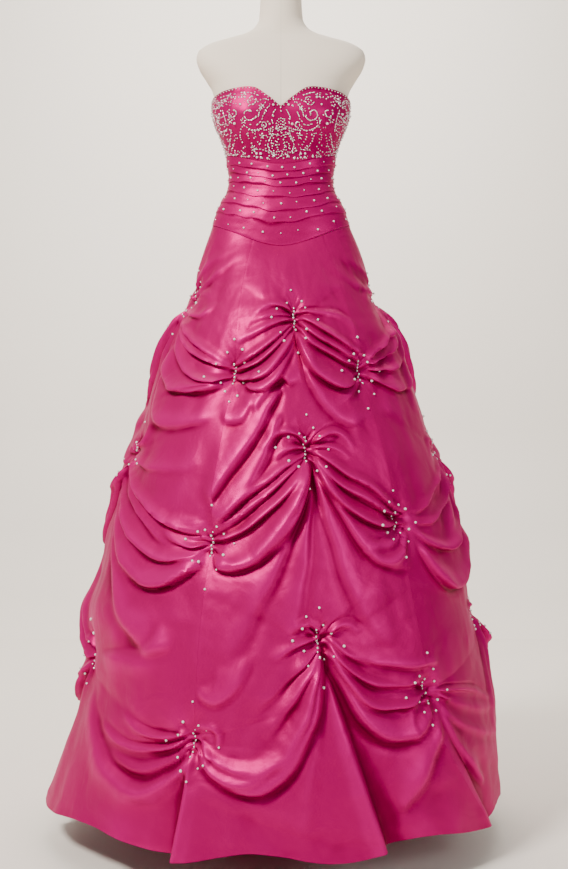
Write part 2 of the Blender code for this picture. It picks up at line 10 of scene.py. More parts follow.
import bpy
import numpy as np
from bpy.props import FloatProperty, FloatVectorProperty, IntProperty, PointerProperty
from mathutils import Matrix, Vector


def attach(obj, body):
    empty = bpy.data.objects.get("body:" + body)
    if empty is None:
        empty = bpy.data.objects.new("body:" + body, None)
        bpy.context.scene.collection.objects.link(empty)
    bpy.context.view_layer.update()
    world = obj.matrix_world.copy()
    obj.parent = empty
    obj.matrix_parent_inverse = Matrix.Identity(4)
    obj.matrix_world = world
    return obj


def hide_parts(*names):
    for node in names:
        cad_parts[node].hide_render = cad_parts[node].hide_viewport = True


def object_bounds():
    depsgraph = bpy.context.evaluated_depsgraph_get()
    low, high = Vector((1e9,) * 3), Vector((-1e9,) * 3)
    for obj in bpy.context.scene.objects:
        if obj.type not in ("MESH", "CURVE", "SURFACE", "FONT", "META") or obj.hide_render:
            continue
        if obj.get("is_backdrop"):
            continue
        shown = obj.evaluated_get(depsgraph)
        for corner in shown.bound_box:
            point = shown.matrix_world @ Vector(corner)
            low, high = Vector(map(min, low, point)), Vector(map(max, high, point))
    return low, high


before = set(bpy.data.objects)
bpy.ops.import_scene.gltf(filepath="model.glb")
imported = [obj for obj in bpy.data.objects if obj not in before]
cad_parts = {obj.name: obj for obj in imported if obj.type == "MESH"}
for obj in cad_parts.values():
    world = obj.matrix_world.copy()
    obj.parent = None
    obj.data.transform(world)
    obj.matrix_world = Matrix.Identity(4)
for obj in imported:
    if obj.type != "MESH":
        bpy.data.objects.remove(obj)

bl_info = {
    "name": "Satin evening gown",
    "version": (1, 0, 0),
    "blender": (4, 5, 0),
    "location": "3D View > Sidebar > Gown",
    "description": "Makes a strapless satin gown with a caught-up skirt on a dress form",
    "category": "Add Mesh",
}

CAD_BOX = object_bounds()

# ------------------------------------------------------------------ the gown's sizes
EASE = 0.0044           # outside of the bodice cloth to the dress form
FORM_RADIUS, FORM_SEAM_WIDE = 0.13, 0.0011             # of the cover's cloth map, of its seams
SEAM_GAP = 0.0002       # clear space between two panels at a seam
WAIST_Z = 1.150         # mean height of the skirt's top edge
BODICE_RADIUS_MM = 125.0               # turns the embroidery's lengths into angles
BODICE_CLOTH_RADIUS, BAND_CLOTH_RADIUS = 0.12, 0.11    # on which creases and maps are laid out
BODICE_SEAM_RADIUS, BAND_SEAM_RADIUS = 0.11, 0.10      # smallest radius at the panels' seams
EDGE_ROLL, EDGE_ROLL_WIDE = 0.0010, 0.0035             # rolled top edge of the bodice
TUCK, TUCK_WIDE = 0.0012, 0.004        # dip of the bodice under the pleats
PULL = 0.0005                          # faint pulls along the boning
PLEAT_LOW, PLEAT_FULL, PLEAT_VARIES = 0.0004, 0.0020, 0.0007   # relief of a pleat, top to edge
PLEAT_CREASE, PLEAT_WANDER = 0.00070, 0.20             # creases across it, its uneven edge
PLEAT_TURN = 0.93                      # share of a pleat after which its edge turns back
HEM_LOW, HEM_HIGH = 0.060, 0.080       # height of the hem at a column, and between two

# The dress form, level by level: half width, depth to the front, depth to the back, squareness.
FORM_SECTIONS = (
    # z,    side,   front,  back,   power
    (0.930, 0.1180, 0.0850, 0.1000, 2.2),
    (0.950, 0.1340, 0.0940, 0.1120, 2.2),
    (1.000, 0.1440, 0.0980, 0.1180, 2.2),
    (1.060, 0.1460, 0.0990, 0.1200, 2.2),
    (1.120, 0.1420, 0.0985, 0.1170, 2.2),
    (1.187, 0.1305, 0.0970, 0.1060, 2.2),
    (1.211, 0.1245, 0.0940, 0.1000, 2.15),
    (1.235, 0.1130, 0.0890, 0.0920, 2.1),
    (1.259, 0.1008, 0.0840, 0.0840, 2.1),
    (1.283, 0.0990, 0.0805, 0.0790, 2.1),
    (1.307, 0.1020, 0.0815, 0.0800, 2.1),
    (1.331, 0.1070, 0.0845, 0.0840, 2.15),
    (1.355, 0.1145, 0.0880, 0.0880, 2.2),
    (1.379, 0.1245, 0.0905, 0.0910, 2.2),
    (1.395, 0.1305, 0.0915, 0.0925, 2.2),
    (1.415, 0.1335, 0.0910, 0.0930, 2.25),
    (1.435, 0.1325, 0.0885, 0.0930, 2.3),
    (1.455, 0.1370, 0.0850, 0.0920, 2.4),
    (1.479, 0.1505, 0.0790, 0.0880, 2.5),
    (1.500, 0.1635, 0.0710, 0.0820, 2.5),
    (1.519, 0.1690, 0.0620, 0.0740, 2.4),
    (1.532, 0.1660, 0.0550, 0.0660, 2.3),
    (1.542, 0.1560, 0.0500, 0.0590, 2.2),
    (1.551, 0.1370, 0.0460, 0.0540, 2.1),
    (1.559, 0.1080, 0.0430, 0.0500, 2.0),
    (1.568, 0.0760, 0.0420, 0.0470, 2.0),
    (1.579, 0.0560, 0.0415, 0.0450, 2.0),
    (1.599, 0.0440, 0.0415, 0.0430, 2.0),
    (1.640, 0.0410, 0.0410, 0.0410, 2.0),
    (1.660, 0.0405, 0.0405, 0.0405, 2.0),
    (1.668, 0.0360, 0.0360, 0.0360, 2.0),
)
# The form's cups: how far they stand out, where, and how wide they are.
CUP_RISE, CUP_DEG, CUP_Z = 0.0200, 37.0, 1.386
CUP_SPREAD_DEG, CUP_SPREAD_Z = 21.0, 0.034

# Top edge of the bodice, the same on both sides: a sweetheart dip between two cups.
NECKLINE = (
    # deg, z
    (0, 1.4000), (5, 1.4075), (10, 1.4160), (17, 1.4255), (23, 1.4340), (29, 1.4397),
    (37, 1.4417), (49, 1.4407), (63, 1.4380), (75, 1.4336), (90, 1.4310), (120, 1.4240),
    (150, 1.4120), (180, 1.4050),
)
PRINCESS_DEG, SIDE_DEG, BACK_DEG = 42.0, 94.0, 180.0

# Edges of the pleats round the waist, top to bottom: height in front, at the sides, at the back.
PLEAT_EDGES = (
    # front,  side,   back
    (1.2930, 1.3210, 1.3180),
    (1.2780, 1.3040, 1.3020),
    (1.2640, 1.2890, 1.2880),
    (1.2490, 1.2710, 1.2700),
    (1.2260, 1.2520, 1.2500),
    (1.1990, 1.2310, 1.2300),
    (1.1765, 1.2100, 1.2080),
    (1.1320, 1.1840, 1.1780),
)

# Skirt before it is caught up: the radius to the wearer's right, left, front and back.
SKIRT_SECTIONS = (
    # z,   right(-X), left(+X), front,  back
    (1.190, 0.1345, 0.1345, 0.1005, 0.1095),
    (1.139, 0.1500, 0.1530, 0.1190, 0.1280),
    (1.100, 0.1600, 0.1640, 0.1390, 0.1480),
    (1.060, 0.1700, 0.1780, 0.1600, 0.1690),
    (1.030, 0.1830, 0.1900, 0.1760, 0.1840),
    (1.000, 0.1980, 0.2040, 0.1930, 0.2000),
    (0.960, 0.2140, 0.2260, 0.2110, 0.2180),
    (0.880, 0.2380, 0.2500, 0.2440, 0.2500),
    (0.800, 0.2640, 0.2780, 0.2720, 0.2760),
    (0.740, 0.2880, 0.3010, 0.2940, 0.2960),
    (0.660, 0.3080, 0.3240, 0.3220, 0.3220),
    (0.580, 0.3340, 0.3500, 0.3440, 0.3440),
    (0.500, 0.3500, 0.3580, 0.3640, 0.3640),
    (0.420, 0.3720, 0.3740, 0.3820, 0.3820),
    (0.340, 0.3720, 0.3920, 0.3980, 0.3980),
    (0.250, 0.3880, 0.4080, 0.4140, 0.4120),
    (0.150, 0.4200, 0.4180, 0.4280, 0.4280),
    (0.060, 0.4480, 0.4300, 0.4380, 0.4420),
)

# Ten columns of gathers, round from the front. Odd ones run down a gore seam, even ones
# down the middle of a gore. Each has its angle at four levels and the heights of its gathers.
COLUMN_LEVELS = (1.170, 0.900, 0.300, 0.060)
COLUMNS = (
    # name,        at the waist, upper, lower, hem;      gathers, top to bottom
    ("front",       (6, 8, 10, 13),         (0.983, 0.743, 0.416)),
    ("front_left",  (43, 37.5, 40, 58),     (0.885, 0.615, 0.319)),
    ("left",        (84, 84, 87, 94),       (1.035, 0.738, 0.420)),
    ("back_left",   (115, 118, 118, 120),   (0.890, 0.600, 0.290)),
    ("rear_left",   (148, 152, 152, 152),   (1.010, 0.740, 0.420)),
    ("back",        (180, 184, 185, 185),   (0.880, 0.590, 0.280)),
    ("rear_right",  (214, 218, 218, 218),   (1.000, 0.735, 0.415)),
    ("back_right",  (247, 252, 252, 250),   (0.885, 0.600, 0.300)),
    ("right",       (283, 285, 285, 282),   (1.027, 0.730, 0.350)),
    ("front_right", (330, 339, 339, 336),   (0.883, 0.578, 0.247)),
)
GATHER_HALF = 0.016                    # half the height of a gather
# Rows of cells that reach the waist, the top and foot of each gather, and the hem.
EVEN_ROWS = (0, 3, 7, 12, 17, 23, 29, 37)
ODD_ROWS = (0, 7, 12, 17, 23, 29, 33, 37)
COLUMN_CLUSTER = 0.30                  # how much closer the cells lie at a column
CALM_BELOW_WAIST = 0.10                # stretch under the waist over which folds fade in
WAIST_FLARE = 0.045                    # stretch over which the skirt comes out from the band
WAIST_TUCK = 0.0010                    # from the ease of the bodice out to the skirt's top edge

GORES = (
    # name,              first column, cells between two columns, rows in each coarse row
    ("skirt_front",      -1, 64, 10),
    ("skirt_side_left",   1, 56, 9),
    ("skirt_back_left",   3, 40, 8),
    ("skirt_back_right",  5, 40, 8),
    ("skirt_side_right",  7, 56, 9),
)
PANELS = (
    # name,               starts, ends
    ("bodice_front",      -PRINCESS_DEG, PRINCESS_DEG),
    ("bodice_side_left",  PRINCESS_DEG, SIDE_DEG),
    ("bodice_side_right", -SIDE_DEG, -PRINCESS_DEG),
    ("bodice_back_left",  SIDE_DEG, BACK_DEG),
    ("bodice_back_right", -BACK_DEG, -SIDE_DEG),
)
BANDS = (
    # name,             starts, ends
    ("band_front",      -SIDE_DEG, SIDE_DEG),
    ("band_back_left",  SIDE_DEG, BACK_DEG),
    ("band_back_right", -BACK_DEG, -SIDE_DEG),
)

# The photograph's camera: its height, focal length and middle in pixels, then its place.
PHOTO_HEIGHT = 869
PHOTO_FOCAL = 1254.0
PHOTO_MID_X, PHOTO_MID_Y = 284.0, 434.5
CAMERA_X, CAMERA_DISTANCE, CAMERA_Z = 0.006, 2.508, 0.770
SENSOR_MM = 36.0

STAGE_HALF = 60.0                      # half the floor's side
BACKDROP = (
    # y,   z
    (2.2, 0.001),
    (2.7, 0.08),
    (3.1, 0.35),
    (3.3, 0.8),
    (3.3, 5.0),
)
LIGHTS = (
    # name,  place,             aimed at,      watts, size, tint
    ("key",  (-1.9, -2.1, 3.6), (0, 0, 0.75),  225,   0.8,  (1, 0.96, 0.92)),
    ("fill", (2.3, -2.4, 1.7),  (0, 0, 0.8),   36,    1.4,  (0.95, 0.97, 1)),
    ("back", (0.0, 1.4, 3.2),   (0, 3.2, 0.9), 130,   2.4,  (1, 0.97, 0.93)),
)
SKY_TINT, SKY_STRENGTH = (1, 0.98, 0.96), 0.30

# Folds that show in the photograph. Four corners steer each, in the photograph's pixels; then
# the half widths of its steep and its soft side and its rise, in millimetres, and 1 where the
# steep side is the lower one. A fold with a very soft side is a broad swell under the others.
SEEN_FOLDS = (
    # x1,  y1,   x2,  y2,   x3,  y3,   x4,  y4, steep, soft, rise, lean
    # first gather in the middle column, to the left
    (293, 312, 282, 300, 264, 300, 252, 318, 4.0, 6, 7, 1),
    (293, 315, 276, 314, 262, 314, 248, 322, 3.0, 5, 5, 1),
    (293, 319, 272, 320, 254, 332, 238, 341, 3.5, 5, 8, 1),
    (293, 322, 276, 335, 256, 353, 232, 366, 3.5, 5, 10, 1),
    (294, 326, 278, 342, 262, 362, 232, 372, 3.5, 5, 10, 1),
    (294, 331, 280, 354, 264, 378, 231, 380, 4.5, 6, 12, 1),
    (295, 334, 284, 370, 258, 396, 244, 384, 5.0, 20, 9, 1),
    (292, 384, 284, 362, 266, 378, 254, 410, 6.0, 20, 9, 1),
    (278, 384, 264, 414, 240, 450, 210, 500, 8.0, 24, 13, 1),
    (280, 410, 262, 460, 240, 500, 214, 518, 8.0, 26, 9, 1),
    # and to the right
    (298, 314, 316, 307, 344, 308, 353, 330, 4.0, 6, 7, -1),
    (299, 319, 316, 318, 338, 340, 363, 356, 3.5, 5, 9, 1),
    (299, 321, 314, 334, 340, 350, 361, 361, 3.5, 5, 10, 1),
    (298, 326, 311, 344, 334, 356, 360, 367, 4.0, 5, 11, 1),
    (298, 332, 306, 362, 330, 400, 362, 378, 5.0, 18, 12, 1),
    (300, 340, 312, 392, 340, 436, 368, 412, 8.0, 26, 8, 1),
    # first gather on the left seam: folds from the side column
    (184, 314, 194, 334, 212, 350, 229, 364, 3.5, 5, 9, 1),
    (183, 320, 188, 344, 204, 358, 228, 367, 3.5, 5, 10, 1),
    (182, 326, 178, 356, 194, 386, 228, 378, 4.5, 7, 13, 1),
    (182, 330, 160, 372, 176, 402, 228, 385, 6.0, 22, 14, 1),
    (180, 340, 146, 396, 150, 440, 218, 416, 9.0, 26, 8, 1),
    (217, 383, 200, 380, 180, 384, 164, 392, 4.0, 7, 5, 1),
    # first gather on the right seam: folds from the side column
    (390, 322, 382, 338, 374, 350, 367, 358, 3.0, 4, 9, 1),
    (394, 330, 388, 350, 380, 360, 368, 364, 3.0, 4, 9, 1),
    (400, 344, 396, 366, 384, 370, 369, 370, 3.5, 5, 10, 1),
    (410, 366, 406, 396, 384, 388, 370, 376, 5.0, 14, 12, 1),
    (356, 362, 348, 352, 338, 350, 330, 356, 3.0, 4, 6, -1),
    (362, 380, 352, 392, 344, 398, 334, 394, 4.0, 6, 7, -1),
    # second gather in the middle column, to the left
    (308, 444, 294, 424, 276, 428, 262, 447, 4.0, 6, 9, 1),
    (308, 447, 294, 444, 280, 450, 273, 463, 3.0, 5, 7, 1),
    (309, 451, 284, 464, 244, 490, 212, 528, 4.0, 6, 10, 1),
    (309, 454, 284, 474, 252, 508, 212, 533, 3.5, 5, 10, 1),
    (310, 457, 288, 484, 258, 530, 211, 541, 4.0, 6, 12, 1),
    (310, 459, 296, 494, 280, 528, 254, 556, 4.5, 8, 13, 1),
    (310, 461, 294, 506, 266, 582, 211, 560, 8.0, 18, 14, 1),
    (311, 464, 296, 512, 270, 580, 222, 660, 9.0, 28, 13, 1),
    (311, 466, 306, 530, 296, 600, 270, 700, 9.0, 28, 7, 1),
    # and to the right
    (312, 443, 326, 424, 346, 428, 353, 448, 4.0, 6, 9, -1),
    (312, 447, 326, 444, 344, 448, 350, 457, 3.0, 5, 7, -1),
    (313, 452, 338, 464, 374, 492, 407, 513, 3.5, 5, 10, 1),
    (314, 455, 334, 480, 364, 504, 407, 518, 3.5, 5, 11, 1),
    (315, 458, 332, 494, 360, 532, 408, 525, 4.5, 7, 12, 1),
    (315, 462, 336, 500, 366, 578, 408, 560, 6.0, 20, 13, 1),
    (316, 466, 330, 530, 352, 610, 392, 640, 9.0, 26, 9, 1),
    # second gather on the left seam: folds from the side column
    (126, 457, 144, 494, 168, 526, 206, 533, 4.0, 5, 12, 1),
    (127, 463, 136, 500, 146, 524, 166, 542, 3.5, 7, 11, 1),
    (166, 528, 178, 544, 192, 550, 206, 543, 3.5, 5, 9, 1),
    (127, 468, 130, 536, 160, 572, 205, 554, 5.0, 8, 11, 1),
    (126, 474, 126, 566, 140, 614, 206, 560, 6.0, 26, 19, 1),
    (126, 482, 122, 600, 130, 660, 178, 640, 10., 28, 9, 1),
    (133, 446, 142, 466, 166, 478, 204, 456, 6.0, 10, 7, 1),
    (157, 390, 156, 436, 146, 448, 132, 442, 6.0, 9, 10, -1),
    (208, 530, 198, 514, 176, 512, 164, 521, 3.5, 5, 7, -1),
    # second gather on the right seam: folds from the side column
    (438, 452, 434, 484, 426, 502, 413, 512, 3.5, 5, 10, 1),
    (446, 468, 444, 506, 432, 524, 415, 522, 3.5, 5, 11, 1),
    (456, 496, 456, 548, 438, 556, 416, 532, 4.5, 7, 12, 1),
    (460, 520, 464, 590, 440, 606, 417, 541, 6.0, 20, 16, 1),
    (406, 526, 396, 544, 384, 550, 366, 540, 3.5, 5, 8, -1),
    (407, 531, 402, 562, 380, 568, 364, 546, 4.0, 7, 9, -1),
    # second gather on the left seam, to the right
    (212, 556, 226, 562, 242, 562, 253, 552, 3.5, 5, 8, 1),
    (213, 561, 224, 572, 240, 572, 253, 557, 3.5, 6, 8, 1),
    # third gather in the middle column, to the left
    (322, 638, 308, 642, 290, 644, 272, 658, 4.0, 6, 9, 1),
    (323, 644, 306, 662, 284, 680, 256, 708, 5.0, 16, 8, 1),
    (323, 647, 308, 672, 288, 702, 264, 738, 4.0, 7, 10, 1),
    (323, 650, 308, 690, 296, 728, 278, 764, 4.0, 7, 10, 1),
    (286, 748, 268, 772, 232, 774, 199, 747, 4.0, 8, 10, 1),
    (322, 655, 302, 726, 288, 836, 197, 756, 8.0, 20, 12, 1),
    (218, 772, 236, 782, 262, 776, 282, 748, 5.0, 12, 5, 1),
    (323, 656, 314, 700, 306, 780, 296, 846, 9.0, 26, 5, 1),
    (322, 634, 314, 620, 298, 622, 290, 634, 4.0, 6, 7, 1),
    # and to the right
    (327, 637, 342, 650, 350, 660, 374, 659, 4.0, 6, 8, 1),
    (366, 660, 392, 664, 416, 664, 434, 658, 4.0, 9, 7, 1),
    (327, 641, 344, 672, 384, 706, 434, 668, 4.5, 7, 12, 1),
    (327, 643, 344, 686, 388, 740, 434, 682, 4.0, 6, 9, 1),
    (327, 646, 342, 690, 392, 792, 434, 698, 8.0, 18, 13, 1),
    (328, 634, 336, 618, 352, 618, 360, 632, 4.0, 6, 7, -1),
    # third gather on the left seam, to the left
    (188, 732, 172, 736, 142, 738, 124, 712, 4.0, 7, 10, -1),
    (188, 737, 166, 752, 122, 756, 103, 722, 4.0, 6, 12, -1),
    (188, 743, 172, 762, 150, 782, 108, 752, 4.0, 6, 11, -1),
    (189, 750, 172, 790, 112, 826, 94, 690, 6.5, 22, 19, -1),
    (164, 620, 160, 650, 136, 664, 104, 652, 6.0, 22, 6, -1),
    # and to the right: small loops
    (194, 733, 208, 722, 224, 728, 216, 750, 3.0, 4, 7, 1),
    (194, 741, 206, 746, 212, 768, 200, 762, 2.5, 4, 6, 1),
    (195, 748, 206, 768, 228, 780, 246, 774, 3.5, 5, 9, 1),
    # third gather on the right seam
    (434, 698, 414, 700, 400, 722, 418, 734, 3.0, 5, 8, 1),
    (438, 690, 452, 682, 470, 688, 488, 696, 3.5, 5, 8, -1),
    (439, 694, 456, 702, 474, 716, 490, 700, 3.5, 5, 9, 1),
    (440, 708, 456, 722, 474, 734, 490, 728, 4.0, 6, 12, 1),
    (438, 720, 428, 752, 412, 790, 402, 812, 9.0, 24, 8, 1),
    (440, 714, 454, 742, 472, 774, 482, 782, 5.0, 12, 12, 1),
    # the hollow of the upper swags, along the left seam
    (250, 656, 238, 692, 208, 716, 200, 684, 6.0, 24, 5, 1),
    (252, 396, 244, 420, 230, 426, 224, 410, 5.0, 12, 5, 1),
    # from the waist seam towards the side gathers
    (246, 243, 222, 254, 204, 268, 195, 292, 5.0, 8, 6, 1),
    (246, 250, 224, 268, 206, 286, 193, 300, 5.0, 8, 6, 1),
    (332, 266, 346, 280, 364, 292, 378, 296, 5.0, 8, 6, 1),
    (336, 252, 352, 262, 366, 274, 380, 284, 5.0, 9, 5, 1),
    (214, 300, 208, 284, 196, 290, 190, 302, 4.0, 6, 8, -1),
    (217, 301, 208, 318, 196, 320, 189, 309, 4.0, 6, 9, 1),
)

# Swags on the sides that the photograph doesn't show, from a gather to the lower one beside it.
HIDDEN_SWAGS = (
    # sag,   steep,  soft,  rise,  end_drop
    (0.000, 0.0040, 0.006, 0.010, -0.012),
    (0.014, 0.0040, 0.006, 0.011, -0.004),
    (0.036, 0.0045, 0.007, 0.013, 0.006),
    (0.080, 0.0060, 0.024, 0.018, 0.024),
)
HIDDEN_LEFT_OUT = 0.28  # share of the narrow folds of a hidden swag that are left out
HIDDEN_FALL_LENGTH, HIDDEN_FALL_LEAN = 0.22, 0.055     # folds that run down into the panel
HIDDEN_FALL_STEEP, HIDDEN_FALL_SOFT, HIDDEN_FALL_RISE = 0.0080, 0.024, 0.0110
LOOP_REACH, LOOP_LIFT = 0.082, 0.034                   # small folds that arch out of a gather
LOOP_STEEP, LOOP_SOFT, LOOP_RISE = 0.0040, 0.006, 0.0080
BROAD_SOFT = 0.0135     # a fold whose soft side is wider lies under the others
HOLLOW = 0.42           # depth of the hollow beside a fold, as a share of its rise
CREST_LIMIT, TROUGH_LIMIT = 0.024, 0.010               # where the relief starts to level off
FOLD_STEPS = 17         # points along a fold's curve
FOLD_BEND = 55.0        # curvature, per metre, at which the satin's painted shade and painted highlight stop changing
BROAD_REACH = 9         # cells round a point over which its painted shade looks for a broad hollow
BROAD_DEPTH = 0.0055    # depth of such a hollow at which the painted shade stops changing
CLOUD_SHARE = 0.80      # how far the tone drifts at random over the cloth, against 2 from painted highlight to painted shade
FREE_END = 0.045        # a fold that ends further than this from a gather dies away there
SEEN_DEG = 78.0         # the photograph shows the cloth this far round each way
DROOP = 0.38            # how far a fold's crest hangs down, as a share of its rise
DROOP_OVER_HEM, DROOP_UNDER_WAIST = 0.08, 0.05         # stretches over which that fades in

PINCH_DEPTH, PINCH_WIDE, PINCH_TALL = 0.0150, 0.016, 0.030     # dimple round a gather
PUCKER, PUCKER_PITCH, PUCKER_FAN = 0.0024, 0.0095, 0.012       # fine puckers round a gather
PUCKER_AT, PUCKER_WIDE = 0.010, 0.017                  # how far out they are deepest
PILLOW_RISE, PILLOW_PEAK = 0.007, 0.74                 # cloth between gathers, fullest low down

# Straight folds from the lowest gathers to the hem. The cloth on the side of the smaller
# angle lies further out by step; a minus sign puts the other side further out.
FALLS = (
    # column,       hem_deg, step
    ("front",        25.0,   0.040),
    ("front_left",   60.0,   0.022),
    ("left",         101.0,  0.020),
    ("back_left",    120.0, -0.026),
    ("rear_left",    160.0,  0.030),
    ("back",         185.0, -0.024),
    ("rear_right",   209.0, -0.030),
    ("back_right",   250.0,  0.026),
    ("right",        277.0, -0.018),
    ("front_right",  336.0, -0.050),
)
FALL_BLEND, FALL_REACH = 0.0036, 0.075                 # width of their edge and of their cloth
SEAM_GROOVE, SEAM_GROOVE_WIDE = 0.0008, 0.0026         # dip along the gores' seams
SEAM_RIDGE, SEAM_RIDGE_WIDE = 0.0034, 0.012            # crease in which the seams stand out
HEM_ROLL, HEM_PUCKERS = 0.0011, 140                    # narrow hem, and its puckers all round
SKIRT_RADIUS = 0.36     # radius on which the skirt's creases and its cloth map are laid out
FOLD_WAVER, FOLD_VARIES = 0.0042, 0.22                 # how far folds wander, how depth varies
WAVER_SCALE, VARIES_SCALE = 0.100, 0.090               # lengths over which they do
CALM_LEAST = 0.12                                      # relief that is left at the waist
COLUMN_WIDE_DEG = 36.0                                 # mean angle between two columns
HEM_ROLL_AT, HEM_ROLL_WIDE = 0.002, 0.004              # how far over the edge it is fullest
# Soft creases of the cloth. A small stretch draws them out downwards.
CREASES = (
    # share, seed, scale, stretch
    (1.00, 21, 0.085, 1.0),
    (1.50, 27, 0.060, 0.3),
    (0.55, 22, 0.036, 0.8),
    (0.36, 26, 0.019, 1.0),
)
FLOUNCE, FLOUNCE_SCALE, FLOUNCE_TOP = 0.0050, 0.080, 0.40      # soft waves over the hem

# Bead embroidery of one half of the bodice, mirrored to the other half. Angles in degrees from
# the centre front, heights and radii in millimetres, heights above EMBROIDERY_Z.
EMBROIDERY_Z = 1.300
STITCHED_CURVES = (
    # kind,   deg1, h1,  deg2, h2,  deg3, h3,  deg4, h4, count
    ("bugle", 6,  92,  9,  84,  10,  76,   9,  68,  6),
    ("bugle", 12, 100, 15, 92,  17,  84,  19,  75,  6),
    ("bugle", 16, 106, 19, 97,  21,  89,  22,  81,  6),
    ("bead",  9,  60,  13, 55,  18,  53,  22,  57,  7),
    ("bugle", 22, 57,  27, 52,  33,  55,  36,  64,  7),
    ("bead",  27, 54,  29, 45,  28,  37,  25,  30,  6),
    ("bead",  33, 56,  36, 47,  36,  40,  34,  33,  6),
    ("bead",  38, 62,  43, 54,  45,  46,  44,  36,  7),
    ("bugle", 24, 122, 31, 128, 39,  130, 46,  127, 8),
    ("bead",  44, 117, 49, 126, 55,  129, 61,  127, 7),
    ("bugle", 51, 130, 52, 120, 56,  111, 62,  106, 7),
    ("bugle", 57, 98,  54, 86,  54,  74,  58,  62,  8),
    ("bead",  58, 88,  63, 84,  67,  88,  69,  96,  7),
    ("bead",  56, 74,  62, 72,  67,  76,  70,  84,  7),
    ("bead",  57, 64,  63, 60,  69,  63,  73,  71,  7),
    ("bugle", 52, 60,  57, 46,  64,  33,  74,  24,  10),
    ("bead",  48, 50,  54, 37,  62,  25,  72,  15,  10),
    ("bead",  42, 28,  50, 20,  59,  14,  68,  8,   9),
    ("bugle", 66, 110, 71, 101, 75,  90,  77,  78,  8),
    ("bugle", 72, 120, 78, 110, 82,  96,  84,  80,  9),
    ("bead",  77, 76,  80, 60,  84,  46,  90,  34,  9),
    ("bead",  70, 60,  75, 46,  81,  34,  89,  22,  9),
    ("bead",  84, 78,  87, 62,  90,  50,  92,  40,  7),
    ("bead",  66, 122, 73, 127, 80,  125, 87,  120, 8),
    ("bugle", 3,  46,  8,  50,  12,  44,  14,  36,  6),
    ("bugle", 14, 36,  17, 28,  16,  20,  12,  15,  5),
    ("bead",  3,  38,  6,  30,  5,   22,  2,   16,  6),
    ("bead",  7,  34,  11, 30,  12,  24,  9,   18,  5),
    ("bead",  1,  8,   4,  12,  8,   11,  10,  6,   5),
    ("bugle", 15, 14,  20, 20,  26,  22,  32,  20,  6),
    ("bugle", 21, 70,  24, 63,  27,  62,  30,  66,  4),
    ("bead",  13, 112, 16, 114, 20,  112, 23,  108, 5),
)
STITCHED_SCROLLS = (
    # kind,   deg, h,   r from, r to, turn from, turn to, count
    ("bugle", 30,  84,  13,  5,  -150, 170, 15),
    ("bead",  44,  90,  11,  4,  30,  -260, 13),
    ("bugle", 28,  110, 8,   8,  0,   330,  9),
    ("bead",  28,  110, 3,   3,  0,   240,  3),
    ("bead",  64,  112, 6,   6,  0,   315,  8),
    ("bead",  78,  98,  6,   3,  90,  400,  9),
    ("bead",  50,  108, 5,   5,  0,   288,  5),
    ("bugle", 17,  64,  6,   3,  -60, 250,  7),
    ("bead",  82,  62,  5,   5,  0,   300,  6),
)
STITCHED_FLOWERS = (
    # deg, h,  radius, petals
    (19,   98, 4.5,    6),
    (49,   78, 5.0,    6),
    (36,   72, 4.0,    5),
    (67,   86, 4.5,    6),
    (11,   50, 4.5,    6),
    (33,   24, 4.5,    6),
    (58,  118, 4.5,    6),
    (80,   30, 4.5,    6),
    (21,   44, 3.5,    5),
    (9,    10, 3.5,    5),
    (46,   14, 4.0,    6),
    (88,   78, 4.0,    6),
    (37,  122, 4.0,    5),
)
# Loose beads between the motifs: the share of cells that hold one, by region of the bodice.
LOOSE_PITCH = 6.5               # millimetres from one cell to the next
LOOSE_SHARE, LOOSE_MORE = 0.16, 0.24
# At the centre front: rings of the rosette, and the round pearls of the small clusters.
ROSETTE_HEIGHT = 66
ROSETTE_RINGS = (
    # radius, beads
    (10.5, 13),
    (6.0, 7),
    (0.0, 1),
)
CLUSTER_PEARLS = (
    # deg, h
    (25, 6), (30, 7), (25, 13), (30, 14), (40, 10), (62, 4), (80, 8), (17, 4), (5, 58), (12, 66),
    (8, 102), (38, 104), (35, 118), (62, 94), (86, 104), (74, 38), (50, 12), (88, 12), (45, 70),
)
SEWN_LEFT_OUT, SEWN_DRIFT = 0.06, (0.18, 0.45, 0.22, 0.22)     # of deg, h and direction
EDGE_BEAD_PITCH = 3.3           # degrees between two beads along the top edge
EDGE_BEAD_DOWN = 3              # millimetres from the top edge down to them
BAND_PEARL_PITCH = 18.0         # degrees between two pearls in a row on the pleats
BAND_PEARL = 0.78               # size of a pearl of the band, as a share of a scattered one
# Beads of a gather: those in the row down it, and how far out the pearls lie round it.
ROW_BEADS, ROW_TOP, ROW_PITCH, ROW_LEAN = 8, 0.021, 0.0060, 0.0016
PEARLS_NEAR, PEARLS_FAR = (0.028, 0.048), (0.050, 0.070)
PEARLS_ACROSS, PEARLS_UP = 0.8, 1.05
LIFT = 0.35                     # height of a bead's middle over the cloth, in its radii

PLEAT_STEPS, PLEAT_CLUSTER = 12, 1.7   # cells down each pleat, closer together at its edge
BODICE_ROWS = 44
FORM_SIDES, FORM_ROWS = 112, 151

BODICE_PAINTED_SHADE, BAND_PAINTED_SHADE = 0.40, 0.12    # painted shade: how much deeper their satin is painted all over
